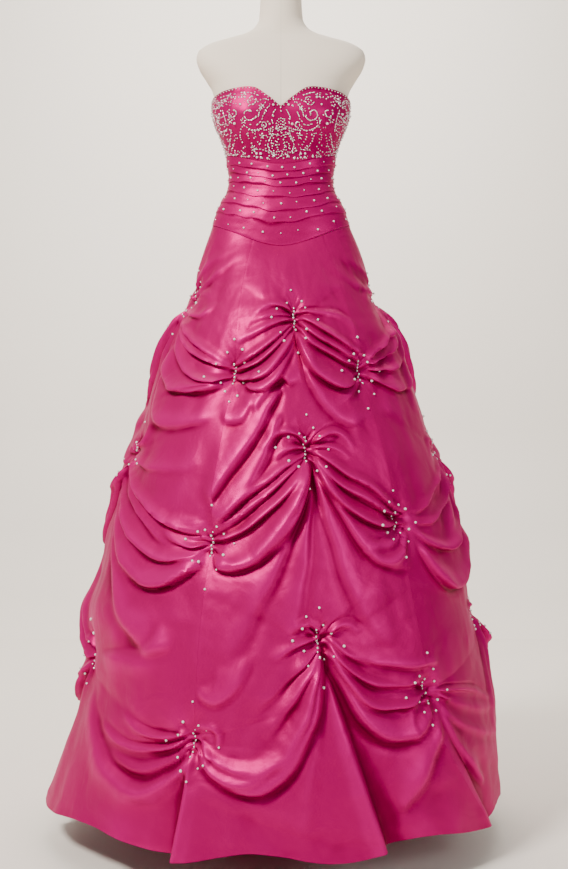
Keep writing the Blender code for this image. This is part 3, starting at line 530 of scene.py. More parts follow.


# ------------------------------------------------------------------ settings
class GownSizes(bpy.types.PropertyGroup):
    """Sizes of the gown's cloth and trimmings."""

    cloth: FloatProperty(name="Cloth", description="Thickness of the satin", default=0.0011,
                         unit="LENGTH")
    pearl: FloatProperty(name="Pearl", description="Radius of a scattered pearl",
                         default=0.0029, unit="LENGTH")
    bead: FloatProperty(name="Bead", description="Radius of a bead in a gather's row",
                        default=0.0023, unit="LENGTH")
    seed: FloatProperty(name="Seed bead", description="Radius of a bead of the embroidery",
                        default=0.00135, unit="LENGTH")
    creases: FloatProperty(name="Creases", description="Depth of the small creases in the satin",
                           default=0.0013, unit="LENGTH")
    weave_pitch: FloatProperty(name="Weave", description="Distance between two satin floats",
                               default=0.0006, unit="LENGTH")
    fold_depth: FloatProperty(name="Fold depth", description="Depth of the folds, as a share of "
                              "the table's", default=1.25)
    bodice_step: FloatProperty(name="Bodice cell", description="Size of a cell of the bodice",
                               default=0.0028, unit="LENGTH")
    scatter: IntProperty(name="Pearls", description="Pearls scattered round each gather",
                         default=12)


class GownColours(bpy.types.PropertyGroup):
    """Colours of the gown, the form and the stage, in linear light."""

    satin: FloatVectorProperty(name="Satin", description="Colour of the satin", subtype="COLOR",
                               default=(0.420, 0.000, 0.112))
    # Painted highlight on the satin's crests and painted shade in its hollows.
    satin_painted_highlight: FloatVectorProperty(name="Satin, crests", description="Satin on its crests",
                                     subtype="COLOR", default=(0.540, 0.000, 0.165))
    satin_painted_shade: FloatVectorProperty(name="Satin, hollows", description="Satin in its hollows",
                                      subtype="COLOR", default=(0.175, 0.000, 0.030))
    pearl: FloatVectorProperty(name="Pearl", description="Colour of the pearls",
                               subtype="COLOR", default=(0.95, 0.91, 0.89))
    silver: FloatVectorProperty(name="Silver", description="Colour of the silver beads",
                                subtype="COLOR", default=(0.95, 0.92, 0.90))
    form_cover: FloatVectorProperty(name="Form", description="Cover of the dress form",
                                    subtype="COLOR", default=(0.92, 0.80, 0.66))
    steel: FloatVectorProperty(name="Steel", description="Steel of the stand",
                               subtype="COLOR", default=(0.56, 0.56, 0.58))
    floor: FloatVectorProperty(name="Floor", description="Floor and backdrop",
                               subtype="COLOR", default=(0.92, 0.85, 0.76))


# ------------------------------------------------------------------ numbers and curves
def smooth_curve(knots, values, at):
    """Cubic curve through the knots that never overshoots: each slope is the harmonic mean
    of its two neighbours, or zero where they differ in sign."""
    order = np.argsort(knots)
    x = np.asarray(knots, float)[order]
    y = np.asarray(values, float)[order]
    step = np.diff(x)
    rate = np.diff(y) / step
    slope = np.concatenate([[rate[0]], np.zeros(len(x) - 2), [rate[-1]]])
    same = rate[:-1] * rate[1:] > 0
    both = rate[:-1] + rate[1:]
    slope[1:-1] = np.where(same, 2 * rate[:-1] * rate[1:] / np.where(same, both, 1), 0)
    at = np.clip(at, x[0], x[-1])
    i = np.clip(np.searchsorted(x, at, side="right") - 1, 0, len(step) - 1)
    t = (at - x[i]) / step[i]
    rise = (1 + 2 * t) * (1 - t) ** 2 * y[i] + t * t * (3 - 2 * t) * y[i + 1]
    return rise + step[i] * (t * (1 - t) ** 2 * slope[i] - t * t * (1 - t) * slope[i + 1])


def columns_of(table, z):
    """Each named column of a table of sections, read at the heights z."""
    table = np.array(table, float)
    return [smooth_curve(table[:, 0], table[:, k], z) for k in range(1, table.shape[1])]


def polar(deg, radius, z):
    """Points at an angle, a radius and a height: (r sin a, -r cos a, z)."""
    turn = np.radians(deg)
    return np.stack(np.broadcast_arrays(radius * np.sin(turn), -radius * np.cos(turn), z), -1)


def oval(deg, minus_x, plus_x, front, back, power=2.0):
    """Radius of a section whose four half axes differ: |x/a|^p + |y/b|^p = 1."""
    across, along = np.sin(np.radians(deg)), np.cos(np.radians(deg))
    side = np.where(across < 0, minus_x, plus_x)
    depth = np.where(along > 0, front, back)
    return (np.abs(across / side) ** power + np.abs(along / depth) ** power) ** (-1 / power)


def unit(vectors):
    """The vectors at length one."""
    return vectors / np.maximum(np.linalg.norm(vectors, axis=-1, keepdims=True), 1e-12)


def wrinkle(deg, z, seed, scale, radius, count=14):
    """Soft random relief between -1 and 1 that closes round the gown: a sum of plane waves of
    random direction and phase, with lengths about scale, read on a cylinder of this radius."""
    rng = np.random.default_rng(seed)
    across, along = radius * np.sin(np.radians(deg)), radius * np.cos(np.radians(deg))
    ways = unit(rng.normal(size=(count, 3)))
    length = scale * rng.uniform(0.6, 1.8, count)
    phase = rng.uniform(0, 2 * math.pi, count)
    total = 0
    for (a, b, c), s, p in zip(ways, length, phase):
        total = total + np.sin(2 * math.pi * (a * across + b * along + c * z) / s + p)
    return total / count * 1.8


def bezier(corners, count=FOLD_STEPS):
    """Points along the curve that four corners steer."""
    t = np.linspace(0, 1, count)[:, None]
    a, b, c, d = np.array(corners, float)
    return (1 - t) ** 3 * a + 3 * t * (1 - t) ** 2 * b + 3 * t * t * (1 - t) * c + t ** 3 * d


# ------------------------------------------------------------------ meshes
def grid_normals(points):
    """Outward unit normals of a grid of points whose columns run round and rows run down."""
    return unit(np.cross(np.gradient(points, axis=1), np.gradient(points, axis=0)))


def smooth_object(name, points, faces, material):
    """An object at the origin with its place in its mesh, shaded smooth."""
    mesh = bpy.data.meshes.new(name)
    mesh.from_pydata(points.reshape(-1, 3).tolist(), [], faces)
    mesh.shade_smooth()
    mesh.materials.append(material)
    made = bpy.data.objects.new(name, mesh)
    bpy.context.scene.collection.objects.link(made)
    return made


def piece_from(name, points, faces, material):
    """A piece of the gown or of its form with its material, hung under the root."""
    piece = smooth_object(name, points, faces, material)
    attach(piece, "root")
    return piece


def grid_quads(count_u, count_v, start=0, wrap=False):
    """Quads of a grid whose points are numbered column by column, facing out."""
    u, v = np.meshgrid(np.arange(count_u if wrap else count_u - 1), np.arange(count_v - 1),
                       indexing="ij")
    after = (u + 1) % count_u
    a = start + u * count_v + v
    c = start + after * count_v + v
    return np.stack([a, a + 1, c + 1, c], -1).reshape(-1, 4)


def add_uv(piece, uv):
    """UV map from one pair for each point of the mesh, in metres of cloth."""
    mesh = piece.data
    corner = np.empty(len(mesh.loops), np.int64)
    mesh.loops.foreach_get("vertex_index", corner)
    layer = mesh.uv_layers.new(name="cloth")
    layer.data.foreach_set("uv", np.asarray(uv, np.float32).reshape(-1, 2)[corner].ravel())


def blurred(points, reach):
    """The grid of points with each the mean of those up to reach cells away, both ways."""
    for axis in (0, 1):
        count = points.shape[axis]
        low = np.maximum(np.arange(count) - reach, 0)
        high = np.minimum(np.arange(count) + reach + 1, count)
        total = np.concatenate([np.zeros_like(points.take([0], axis)), points.cumsum(axis)], axis)
        wide = (high - low).reshape((-1, 1, 1) if axis == 0 else (1, -1, 1))
        points = (total.take(high, axis) - total.take(low, axis)) / wide
    return points


def painted_fold_shade(points, normals):
    """How hollow (up to 1) or crested (down to -1) the cloth is at each point: the satin's colour
    takes it as painted shade in the hollows and a painted highlight on the crests. Narrow folds:
    the mean of the four neighbours less the point, along the normal, over the cell's size
    squared. Broad ones: the mean of the cloth some way round less the point, along the normal."""
    around = np.zeros_like(points)
    around[1:-1, 1:-1] = (points[2:, 1:-1] + points[:-2, 1:-1] + points[1:-1, 2:]
                          + points[1:-1, :-2]) / 4 - points[1:-1, 1:-1]
    size = (np.linalg.norm(np.gradient(points, axis=0), axis=-1)
            * np.linalg.norm(np.gradient(points, axis=1), axis=-1))
    bend = np.clip((around * normals).sum(-1) / np.maximum(size, 1e-7) / FOLD_BEND, -1, 1)
    for _ in range(2):
        bend[1:-1, 1:-1] = (bend[1:-1, 1:-1] * 2 + bend[2:, 1:-1] + bend[:-2, 1:-1]
                            + bend[1:-1, 2:] + bend[1:-1, :-2]) / 6
    depth = ((blurred(points, BROAD_REACH) - points) * normals).sum(-1) / BROAD_DEPTH
    return 0.7 * bend + 0.7 * np.clip(depth, -1, 1)


def cloth_wall(name, outer, uv, thickness, material, painted_shade):
    """A sheet of cloth with its thickness: the outer grid, the same grid moved inwards along
    its normals, and a rim round the four edges. Its colour carries painted shade in its hollows
    and a painted highlight on its crests, and a painted shade above zero deepens it all over."""
    sides, rows = outer.shape[:2]
    normals = grid_normals(outer)
    inner = outer - thickness * normals
    count = sides * rows
    front = grid_quads(sides, rows)
    number = np.arange(count).reshape(sides, rows)
    rims = []
    for edge in (number[0], number[:, -1], number[-1, ::-1], number[::-1, 0]):
        a, b = edge[:-1], edge[1:]
        rims.append(np.stack([b, a, a + count, b + count], -1))
    faces = np.concatenate([front, front[:, ::-1] + count, *rims])
    piece = piece_from(name, np.concatenate([outer.reshape(-1, 3), inner.reshape(-1, 3)]),
                       faces.tolist(), material)
    piece.data.set_sharp_from_angle(angle=math.radians(75))
    add_uv(piece, np.tile(uv.reshape(-1, 2), (2, 1)))
    # Painted shade in the hollows and painted highlight on the crests, kept on the points for the
    # colour.
    shade = piece.data.attributes.new("fold", "FLOAT", "POINT")
    shade.data.foreach_set("value", np.tile((painted_fold_shade(outer, normals) + painted_shade).ravel(), 2))
    return piece


def cloth_piece(name, outer, uv, material, thickness, node, painted_shade=0.0):
    """A sheet of cloth that replaces its solid."""
    piece = cloth_wall(name, outer, uv, thickness, material, painted_shade)
    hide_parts(node)
    return piece


def evened(points):
    """The grid of points with each inner one drawn to the mean of its four neighbours:
    p' = (2 p + left + right) / 4 round, then the same down."""
    points = points.copy()
    points[1:-1] = (2 * points[1:-1] + points[:-2] + points[2:]) / 4
    points[:, 1:-1] = (2 * points[:, 1:-1] + points[:, :-2] + points[:, 2:]) / 4
    return points


def grid_area(points):
    """Area of a grid of points, from the cross products of each cell's diagonals."""
    first = points[1:, 1:] - points[:-1, :-1]
    second = points[:-1, 1:] - points[1:, :-1]
    return float(np.linalg.norm(np.cross(first, second), axis=-1).sum() / 2)


def ball(radius, sides=8, rings=5):
    """Points and faces of a bead about the origin: rings of points between two poles."""
    lift = np.linspace(0, math.pi, rings + 1)[1:-1]
    turn = np.arange(sides) * 2 * math.pi / sides
    ring = np.stack([np.outer(np.sin(lift), np.cos(turn)), np.outer(np.sin(lift), np.sin(turn)),
                     np.outer(np.cos(lift), np.ones(sides))], -1)
    points = np.concatenate([[[0, 0, 1]], ring.reshape(-1, 3), [[0, 0, -1]]]) * radius
    faces = []
    last = len(points) - 1
    for j in range(sides):
        k = (j + 1) % sides
        faces.append((0, 1 + j, 1 + k))
        for i in range(len(lift) - 1):
            a, b = 1 + i * sides, 1 + (i + 1) * sides
            faces.append((a + j, b + j, b + k))
            faces.append((a + j, b + k, a + k))
        faces.append((last, 1 + (len(lift) - 1) * sides + k, 1 + (len(lift) - 1) * sides + j))
    return points, np.array(faces)


def scatter_piece(name, shape, places, along, out, stretch, scale, material):
    """Copies of a small shape joined into one piece. Each is turned so that its x runs along
    the given direction and its z points out of the cloth, is stretched along x and scaled."""
    points, faces = shape
    x = unit(along - (along * out).sum(-1, keepdims=True) * out)
    y = np.cross(out, x)
    scale = scale[:, None, None]
    turned = scale * (points[None, :, 0, None] * stretch * x[:, None]
                      + points[None, :, 1, None] * y[:, None]
                      + points[None, :, 2, None] * out[:, None])
    every = turned + places[:, None]
    numbered = faces[None] + (np.arange(len(places)) * len(points))[:, None, None]
    return piece_from(name, every, numbered.reshape(-1, faces.shape[1]).tolist(), material)


# ------------------------------------------------------------------ form, bodice and band
def form_radius(deg, z):
    """Radius of the dress form: its oval section, with two rounded cups in front."""
    side, front, back, power = columns_of(FORM_SECTIONS, z)
    body = oval(deg, side, side, front, back, power)
    turned = (np.asarray(deg) + 180) % 360 - 180
    for cup in (-CUP_DEG, CUP_DEG):
        away = ((turned - cup) / CUP_SPREAD_DEG) ** 2 + ((z - CUP_Z) / CUP_SPREAD_Z) ** 2
        body = body + CUP_RISE * np.exp(-away / 2)
    return body


def neckline_z(deg):
    """Height of the bodice's top edge."""
    turned = np.abs((np.asarray(deg, float) + 180) % 360 - 180)
    table = np.array(NECKLINE)
    return smooth_curve(table[:, 0], table[:, 1], turned)


def pleat_edge_z(deg, edge):
    """Height of a pleat's edge: it runs level at the sides and dips in front."""
    table = np.array(PLEAT_EDGES)
    at = np.arange(len(table))
    front, side, back = (np.interp(edge, at, table[:, k]) for k in range(3))
    along = np.cos(np.radians(deg))
    return side + np.where(along > 0, front - side, back - side) * along ** 2


def panel_angles(start, end, seam_radius, step):
    """Angles across a panel of the bodice or the band, with half a seam's gap at each end."""
    half_gap = math.degrees(SEAM_GAP / 2 / seam_radius)
    sides = round(math.radians(end - start) * BODICE_CLOTH_RADIUS / step)
    return np.linspace(start + half_gap, end - half_gap, sides + 1)[:, None]


def bodice_at(deg, z):
    """Outside of the bodice: the form's radius plus the ease, with a rolled top edge, faint
    pulls along the boning and a tuck under the pleats."""
    from_top = neckline_z(deg) - z
    roll = EDGE_ROLL * np.exp(-(from_top / EDGE_ROLL_WIDE) ** 2)
    pull = PULL * wrinkle(deg, z, 5, 0.030, BODICE_CLOTH_RADIUS)
    above_band = z - pleat_edge_z(deg, 0)
    tuck = -TUCK * np.exp(-(above_band / TUCK_WIDE) ** 2)
    return polar(deg, form_radius(deg, z) + EASE + roll + pull + tuck, z)


def bodice_point(deg, down):
    """Outside of the bodice, down from the neckline (0) to the pleats (1)."""
    low = pleat_edge_z(deg, 0) + SEAM_GAP
    return bodice_at(deg, neckline_z(deg) * (1 - down) + low * down)


def band_point(deg, down):
    """Outside of the pleated band. Down counts pleats. Each pleat slopes out from under the one
    above to its lower edge and turns sharply back there. Its edge wanders a little round the
    waist, and short level creases cross it."""
    last = len(PLEAT_EDGES) - 1
    pleat = np.minimum(np.floor(down), last - 1)
    share = down - pleat
    wander = wrinkle(deg, pleat * 0.7, 11, 0.060, BAND_CLOTH_RADIUS)
    nearest = np.minimum(np.abs(down), np.abs(last - down))
    edge = down + PLEAT_WANDER * wander * np.clip(nearest, 0, 1)
    z = pleat_edge_z(deg, edge)
    slope = share ** 0.75
    back = np.clip((share - PLEAT_TURN) / (1 - PLEAT_TURN), 0, 1) ** 2
    crease = PLEAT_CREASE * wrinkle(deg, z * 4.5, 12, 0.050, BAND_CLOTH_RADIUS)
    fullness = PLEAT_FULL + PLEAT_VARIES * wander
    relief = PLEAT_LOW + (fullness * slope + crease * np.sin(math.pi * share)) * (1 - back)
    return polar(deg, form_radius(deg, z) + EASE + relief, z)


def normals_of(surface, deg, second, step):
    """Outward normals of a surface at places: the cross product of its slopes, found from
    spots a little to each side. Step is the small move in the second coordinate."""
    right = surface(deg + 0.4, second) - surface(deg - 0.4, second)
    up = surface(deg, second + step) - surface(deg, second - step)
    return unit(np.cross(right, up))


# ------------------------------------------------------------------ skirt
def mean_radius(z):
    """Radius of the plain skirt, averaged all round, which turns angles into lengths."""
    return sum(columns_of(SKIRT_SECTIONS, z)) / 4


def column_deg(index, z):
    """Angle of a column of gathers at the heights z. The columns repeat every ten."""
    turns, index = divmod(int(index), len(COLUMNS))
    return smooth_curve(COLUMN_LEVELS, COLUMNS[index][1], z) + 360 * turns


def skirt_top_z(deg):
    """Top edge of the skirt, just under the pleated band."""
    return pleat_edge_z(deg, len(PLEAT_EDGES) - 1) - SEAM_GAP


def plain_radius(deg, z, top):
    """Outside of the plain skirt. Its top edge lies under the band's lower edge, and over a
    short way below that it comes out to the skirt's own section."""
    meets = form_radius(deg, top) + EASE + WAIST_TUCK
    away = meets - oval(deg, *columns_of(SKIRT_SECTIONS, top))
    return oval(deg, *columns_of(SKIRT_SECTIONS, z)) + away * np.exp((z - top) / WAIST_FLARE)


def gather_place(column, row):
    """(turn, height) of a gather, the turn in radians."""
    z = COLUMNS[column % len(COLUMNS)][2][row]
    return float(np.radians(column_deg(column, z))), z


def cloth_at(x, y):
    """(turn, height) of the plain skirt at a pixel of the photograph: the line of sight and
    the skirt's radius are solved by turns."""
    deg, z = 0.0, CAMERA_Z
    for _ in range(30):
        radius = float(oval(deg, *columns_of(SKIRT_SECTIONS, z)))
        depth = CAMERA_DISTANCE - radius * math.cos(math.radians(deg))
        sideways = CAMERA_X + (x - PHOTO_MID_X) * depth / PHOTO_FOCAL
        z = 0.5 * z + 0.5 * (CAMERA_Z - (y - PHOTO_MID_Y) * depth / PHOTO_FOCAL)
        aim = math.degrees(math.asin(max(-0.985, min(0.985, sideways / radius))))
        deg = 0.5 * deg + 0.5 * aim
    return math.radians(deg), z


def swag_path(high, low, sag, end_drop):
    """A fold that leaves a gather downwards, sags, and comes in level to the lower one."""
    (turn_a, z_a), (turn_b, z_b) = high, low
    across, end = turn_b - turn_a, z_b - end_drop
    return bezier(((turn_a + 0.02 * across, z_a - 0.15 * sag),
                   (turn_a + 0.26 * across, z_a + 0.40 * (end - z_a) - 0.5 * sag),
                   (turn_a + 0.64 * across, end - 0.85 * sag),
                   (turn_a + 0.985 * across, end)))


def loop_path(gather, side, lift):
    """A small fold that arches up and out from a gather."""
    turn, z = gather
    reach = side * LOOP_REACH / mean_radius(z)
    return bezier(((turn + 0.04 * reach, z + 0.002), (turn + 0.3 * reach, z + lift),
                   (turn + 0.8 * reach, z + lift), (turn + reach, z - 0.35 * lift)))


def fall_path(gather, side, lean):
    """A fold that runs from a gather down into the panel below it and dies away there."""
    turn, z = gather
    out = side * lean / mean_radius(z)
    return bezier(((turn, z - 0.004), (turn + 0.4 * out, z - 0.3 * HIDDEN_FALL_LENGTH),
                   (turn + 0.8 * out, z - 0.7 * HIDDEN_FALL_LENGTH),
                   (turn + out, z - HIDDEN_FALL_LENGTH)))


def seen_folds():
    """The photograph's own folds: path, steep and soft half widths, rise and lean. Four
    corners in pixels are carried to the cloth, and a curve runs between them."""
    for x1, y1, x2, y2, x3, y3, x4, y4, steep, soft, rise, lean in SEEN_FOLDS:
        corners = [cloth_at(x, y) for x, y in ((x1, y1), (x2, y2), (x3, y3), (x4, y4))]
        yield from_gather(bezier(corners), steep / 1000, soft / 1000, rise / 1000, lean)


def to_nearest_gather(spot):
    """Distance along the cloth from a (turn, height) spot to the nearest gather."""
    turn, z = spot
    gaps = []
    for column in range(len(COLUMNS)):
        for row in range(3):
            place, height = gather_place(column, row)
            across = (turn - place + math.pi) % (2 * math.pi) - math.pi
            gaps.append(math.hypot(across * float(mean_radius(height)), z - height))
    return min(gaps)


def from_gather(path, steep, soft, rise, lean):
    """A fold whose path starts at its gather, and whether its far end is free."""
    free_start = to_nearest_gather(path[0]) > FREE_END
    free_end = to_nearest_gather(path[-1]) > FREE_END
    if free_start and not free_end:
        path, free_start, free_end = path[::-1], free_end, free_start
    return path, steep, soft, rise, lean, free_end and not free_start


def is_seen(turn):
    """Whether a place lies on the side that the photograph shows."""
    return abs((math.degrees(turn) + 180) % 360 - 180) < SEEN_DEG


def hidden_folds():
    """Like folds on the sides that the photograph doesn't show, each a little different."""
    rng = np.random.default_rng(7)
    for column in range(len(COLUMNS)):
        for row in range(3):
            high = gather_place(column, row)
            lower_row = row + column % 2
            for side in (-1, 1):
                lift = LOOP_LIFT * rng.uniform(0.75, 1.2)
                if not is_seen(high[0] + side * 0.1):
                    yield from_gather(loop_path(high, side, lift), LOOP_STEEP, LOOP_SOFT,
                                      LOOP_RISE, side)
                    lean = HIDDEN_FALL_LEAN * rng.uniform(0.6, 1.4)
                    for reach in (1.0, 2.3):
                        yield from_gather(fall_path(high, side, reach * lean),
                                          HIDDEN_FALL_STEEP, HIDDEN_FALL_SOFT,
                                          HIDDEN_FALL_RISE, side)
                if lower_row > 2:
                    continue
                low = gather_place(column + side, lower_row)
                if is_seen((high[0] + low[0]) / 2):
                    continue
                share = 1.0 if column % 2 == 0 else 0.7
                for sag, steep, soft, rise, end_drop in HIDDEN_SWAGS:
                    if soft < BROAD_SOFT and rng.random() < HIDDEN_LEFT_OUT:
                        continue
                    sag = sag * rng.uniform(0.75, 1.25)
                    rise = rise * share * rng.uniform(0.8, 1.2)
                    yield from_gather(swag_path(high, low, sag, end_drop), steep, soft, rise, 1)


def fold_relief(turn, z, path, steep, soft, rise, lean, free):
    """Crest and hollow of one fold at the points (turn, z). Across it the crest is a bell with
    a steep and a soft side, and the hollow lies beyond the steep one. Along it both swell from
    narrow ends to their full size in the middle, or, where the far end is free, widen and die
    away towards it."""
    middle = path[:, 0].mean()
    turn = (turn - middle + math.pi) % (2 * math.pi) - math.pi
    reach = 3.0 * max(steep, soft)
    line = np.stack([(path[:, 0] - middle) * mean_radius(path[:, 1]), path[:, 1]], -1)
    x = turn * mean_radius(z)
    near = ((x > line[:, 0].min() - reach) & (x < line[:, 0].max() + reach)
            & (z > line[:, 1].min() - reach) & (z < line[:, 1].max() + reach))
    if not near.any():
        return near, 0.0, 0.0
    spot = np.stack([x[near], z[near]], -1)[:, None, :]
    start, along = line[:-1][None], np.diff(line, axis=0)[None]
    share = np.clip(((spot - start) * along).sum(-1) / (along ** 2).sum(-1), 0, 1)
    gap = spot - (start + share[..., None] * along)
    distance = np.linalg.norm(gap, axis=-1)
    best = distance.argmin(1)
    pick = np.arange(len(best))
    way = np.clip((best + share[pick, best]) / (len(line) - 1), 0, 1)
    forward = 1.0 if line[-1, 0] >= line[0, 0] else -1.0
    side = np.sign(gap[pick, best, 1] * along[0, best, 0] - gap[pick, best, 0] * along[0, best, 1])
    swell = np.sin(math.pi * way) ** 0.6
    if free:
        widths = 0.40 + 0.85 * way
        height = np.minimum(1, 12 * way) * (1 - way) ** 0.6
    else:
        widths = 0.42 + 0.58 * swell
        height = (0.35 + 0.65 * swell) * np.minimum(1, 16 * way * (1 - way))
    d = lean * forward * side * distance[pick, best] / widths
    crest = np.exp(-0.5 * (d / np.where(d > 0, soft, steep)) ** 2)
    hollow = HOLLOW * np.exp(-0.5 * ((d / steep + 2.2) / 0.8) ** 2)
    return near, rise * height * crest, rise * height * hollow


def all_fold_relief(turn, z, folds, depth):
    """Height that all folds add, times a depth. Broad ones are summed; narrow crests are joined as
    (sum of h^3)^(1/3), so that two that meet don't pile up; hollows stay between crests."""
    broad, cubed, hollows = np.zeros_like(z), np.zeros_like(z), np.zeros_like(z)
    for path, steep, soft, rise, lean, free in folds:
        near, crest, hollow = fold_relief(turn, z, path, steep, soft, rise, lean, free)
        if soft > BROAD_SOFT:
            broad[near] += crest
        else:
            cubed[near] += np.asarray(crest) ** 3
        hollows[near] += hollow
    narrow = np.cbrt(cubed)
    relief = depth * (broad + narrow - hollows * 0.004 / (0.004 + narrow))
    over = np.maximum(relief - CREST_LIMIT, 0)
    under = np.maximum(-relief - TROUGH_LIMIT, 0)
    return relief - 0.5 * over + 0.5 * under


def fall_relief(deg, z, column, hem_deg, step):
    """Height that a straight fold adds below the lowest gather of a column: the cloth steps
    in across its edge, more and more towards the hem."""
    index = [row[0] for row in COLUMNS].index(column)
    top_z = COLUMNS[index][2][2]
    share = np.clip((top_z - z) / (top_z - HEM_LOW), 0, 1)
    edge = column_deg(index, top_z) * (1 - share) + hem_deg * share
    away = np.radians((deg - edge + 180) % 360 - 180) * mean_radius(z)
    turn = -np.tanh(away / FALL_BLEND) * np.exp(-np.abs(away) / FALL_REACH)
    return step / 2 * turn * share ** 0.7


def pillow_relief(u, z):
    """Height of the cloth between gathers: it stands out in the diamond between four."""
    relief = np.zeros_like(z)
    for column in range(-1, len(COLUMNS) + 1):
        heights = COLUMNS[column % len(COLUMNS)][2]
        levels = (2 * heights[0] - heights[1] + 0.03, *heights, 2 * heights[2] - heights[1])
        for high, low in zip(levels[:-1], levels[1:]):
            down = (high - z) / (high - low)
            warped = np.where(down < PILLOW_PEAK, down / PILLOW_PEAK - 1,
                              (down - PILLOW_PEAK) / (1 - PILLOW_PEAK))
            edge = np.abs(u - column) + np.abs(warped)
            relief += PILLOW_RISE * np.clip(1 - edge ** 2, 0, 1) ** 0.8 * (edge < 1)
    return relief


def pinch_relief(deg, z):
    """How far the gathers pull the cloth in: a tall dimple round each, and fine puckers that
    fan out from it, as cos(n a) for the angle a about the gather."""
    relief = np.zeros_like(z)
    for column in range(len(COLUMNS)):
        for row in range(3):
            turn, height = gather_place(column, row)
            away = (np.radians(deg) - turn + math.pi) % (2 * math.pi) - math.pi
            x, y = away * mean_radius(height), z - height
            relief -= PINCH_DEPTH * np.exp(-0.5 * ((x / PINCH_WIDE) ** 2 + (y / PINCH_TALL) ** 2))
            squashed = y - np.clip(y, -GATHER_HALF, GATHER_HALF)
            out = np.hypot(x, squashed)
            spread = PUCKER_FAN / (PUCKER_FAN + np.abs(x))
            fan = np.cos(2 * math.pi * y / PUCKER_PITCH * spread + column)
            relief += PUCKER * fan * np.exp(-((out - PUCKER_AT) / PUCKER_WIDE) ** 2)
    return relief


def column_heights(index):
    """Heights of a column's marks: waist, the top and foot of each gather, hem."""
    gathers = COLUMNS[index % len(COLUMNS)][2]
    ends = [z + end * GATHER_HALF for z in gathers for end in (1, -1)]
    return (WAIST_Z, *ends, HEM_LOW)


def row_height(u, row):
    """Height of a row before the waist and the hem are trimmed. Rows close up at a gather and
    fan out beside it."""
    z = np.zeros_like(u)
    index = np.floor(u).astype(int)
    for column in np.unique(index):
        here = index == column
        even, odd = (column, column + 1) if column % 2 == 0 else (column + 1, column)
        z_even = np.interp(row[here], EVEN_ROWS, column_heights(even))
        z_odd = np.interp(row[here], ODD_ROWS, column_heights(odd))
        z[here] = z_even + (z_odd - z_even) * np.sin(math.pi / 2 * np.abs(u[here] - even))
    return z


def angle_at(u, z):
    """Angle of a place that is u columns round, at a height."""
    deg = np.zeros_like(z)
    index = np.floor(u).astype(int)
    for column in np.unique(index):
        here = index == column
        low, high = column_deg(column, z[here]), column_deg(column + 1, z[here])
        deg[here] = low + (u[here] - column) * (high - low)
    return deg


def skirt_place(u, row):
    """(angle, height, top edge) of a point of the plain skirt, u columns round, row rows down."""
    between = (1 - np.cos(2 * math.pi * u)) / 2
    at_waist = np.clip(1 - row / EVEN_ROWS[1], 0, 1)
    at_hem = np.clip((row - ODD_ROWS[-2]) / (ODD_ROWS[-1] - ODD_ROWS[-2]), 0, 1)
    plain = row_height(u, row) + (HEM_HIGH - HEM_LOW) * between * at_hem
    z = plain
    for _ in range(3):
        deg = angle_at(u, z)
        top = skirt_top_z(deg)
        z = plain + (top - WAIST_Z) * at_waist
    return deg, z, top


def skirt_relief(deg, z, top, u, folds, sizes):
    """Everything that lifts or sinks the cloth: pillows, gathers, folds, falls, creases and the
    hem's waves. The folds are read at places that wander a little, so that they waver, and
    their depth varies."""
    waver = FOLD_WAVER * wrinkle(deg, z, 23, WAVER_SCALE, SKIRT_RADIUS)
    turn = np.radians(deg) + waver / SKIRT_RADIUS
    level = z + FOLD_WAVER * wrinkle(deg, z, 24, WAVER_SCALE, SKIRT_RADIUS)
    varies = FOLD_VARIES * wrinkle(deg, z, 25, VARIES_SCALE, SKIRT_RADIUS)
    relief = all_fold_relief(turn, level, folds, sizes.fold_depth * (1 + varies))
    relief += pillow_relief(u % len(COLUMNS), z) + pinch_relief(deg, z)
    for column, hem_deg, step in FALLS:
        relief += fall_relief(deg, z, column, hem_deg, step)
    for share, seed, scale, stretch in CREASES:
        relief += share * sizes.creases * wrinkle(deg, stretch * z, seed, scale, SKIRT_RADIUS)
    near_hem = np.clip((FLOUNCE_TOP - z) / (FLOUNCE_TOP - HEM_LOW), 0, 1)
    relief += FLOUNCE * near_hem * wrinkle(deg, 0.2 * z, 28, FLOUNCE_SCALE, SKIRT_RADIUS)
    calm = np.clip((top - z) / CALM_BELOW_WAIST, CALM_LEAST, 1)
    relief *= calm
    from_seam = np.abs(u % 2 - 1) * mean_radius(z) * math.radians(COLUMN_WIDE_DEG)
    relief += calm * SEAM_RIDGE * np.exp(-from_seam / SEAM_RIDGE_WIDE)
    relief -= SEAM_GROOVE * np.exp(-(from_seam / SEAM_GROOVE_WIDE) ** 2)
    between = (1 - np.cos(2 * math.pi * u)) / 2
    above_hem = z - HEM_LOW - (HEM_HIGH - HEM_LOW) * between
    pucker = 0.6 + 0.4 * np.sin(HEM_PUCKERS * np.radians(deg))
    return relief + HEM_ROLL * pucker * np.exp(-((above_hem - HEM_ROLL_AT) / HEM_ROLL_WIDE) ** 2)


def skirt_surface(u, row, folds, sizes):
    """Points of the skirt's outside: the plain section's radius plus the relief, with the
    crests hanging down a little."""
    deg, z, top = skirt_place(u, row)
    relief = skirt_relief(deg, z, top, u, folds, sizes)
    radius = plain_radius(deg, z, top) + relief
    inside = (np.clip((z - HEM_LOW) / DROOP_OVER_HEM, 0, 1)
              * np.clip((top - z) / DROOP_UNDER_WAIST, 0, 1))
    return polar(deg, radius, z - DROOP * np.maximum(relief, 0) * inside)


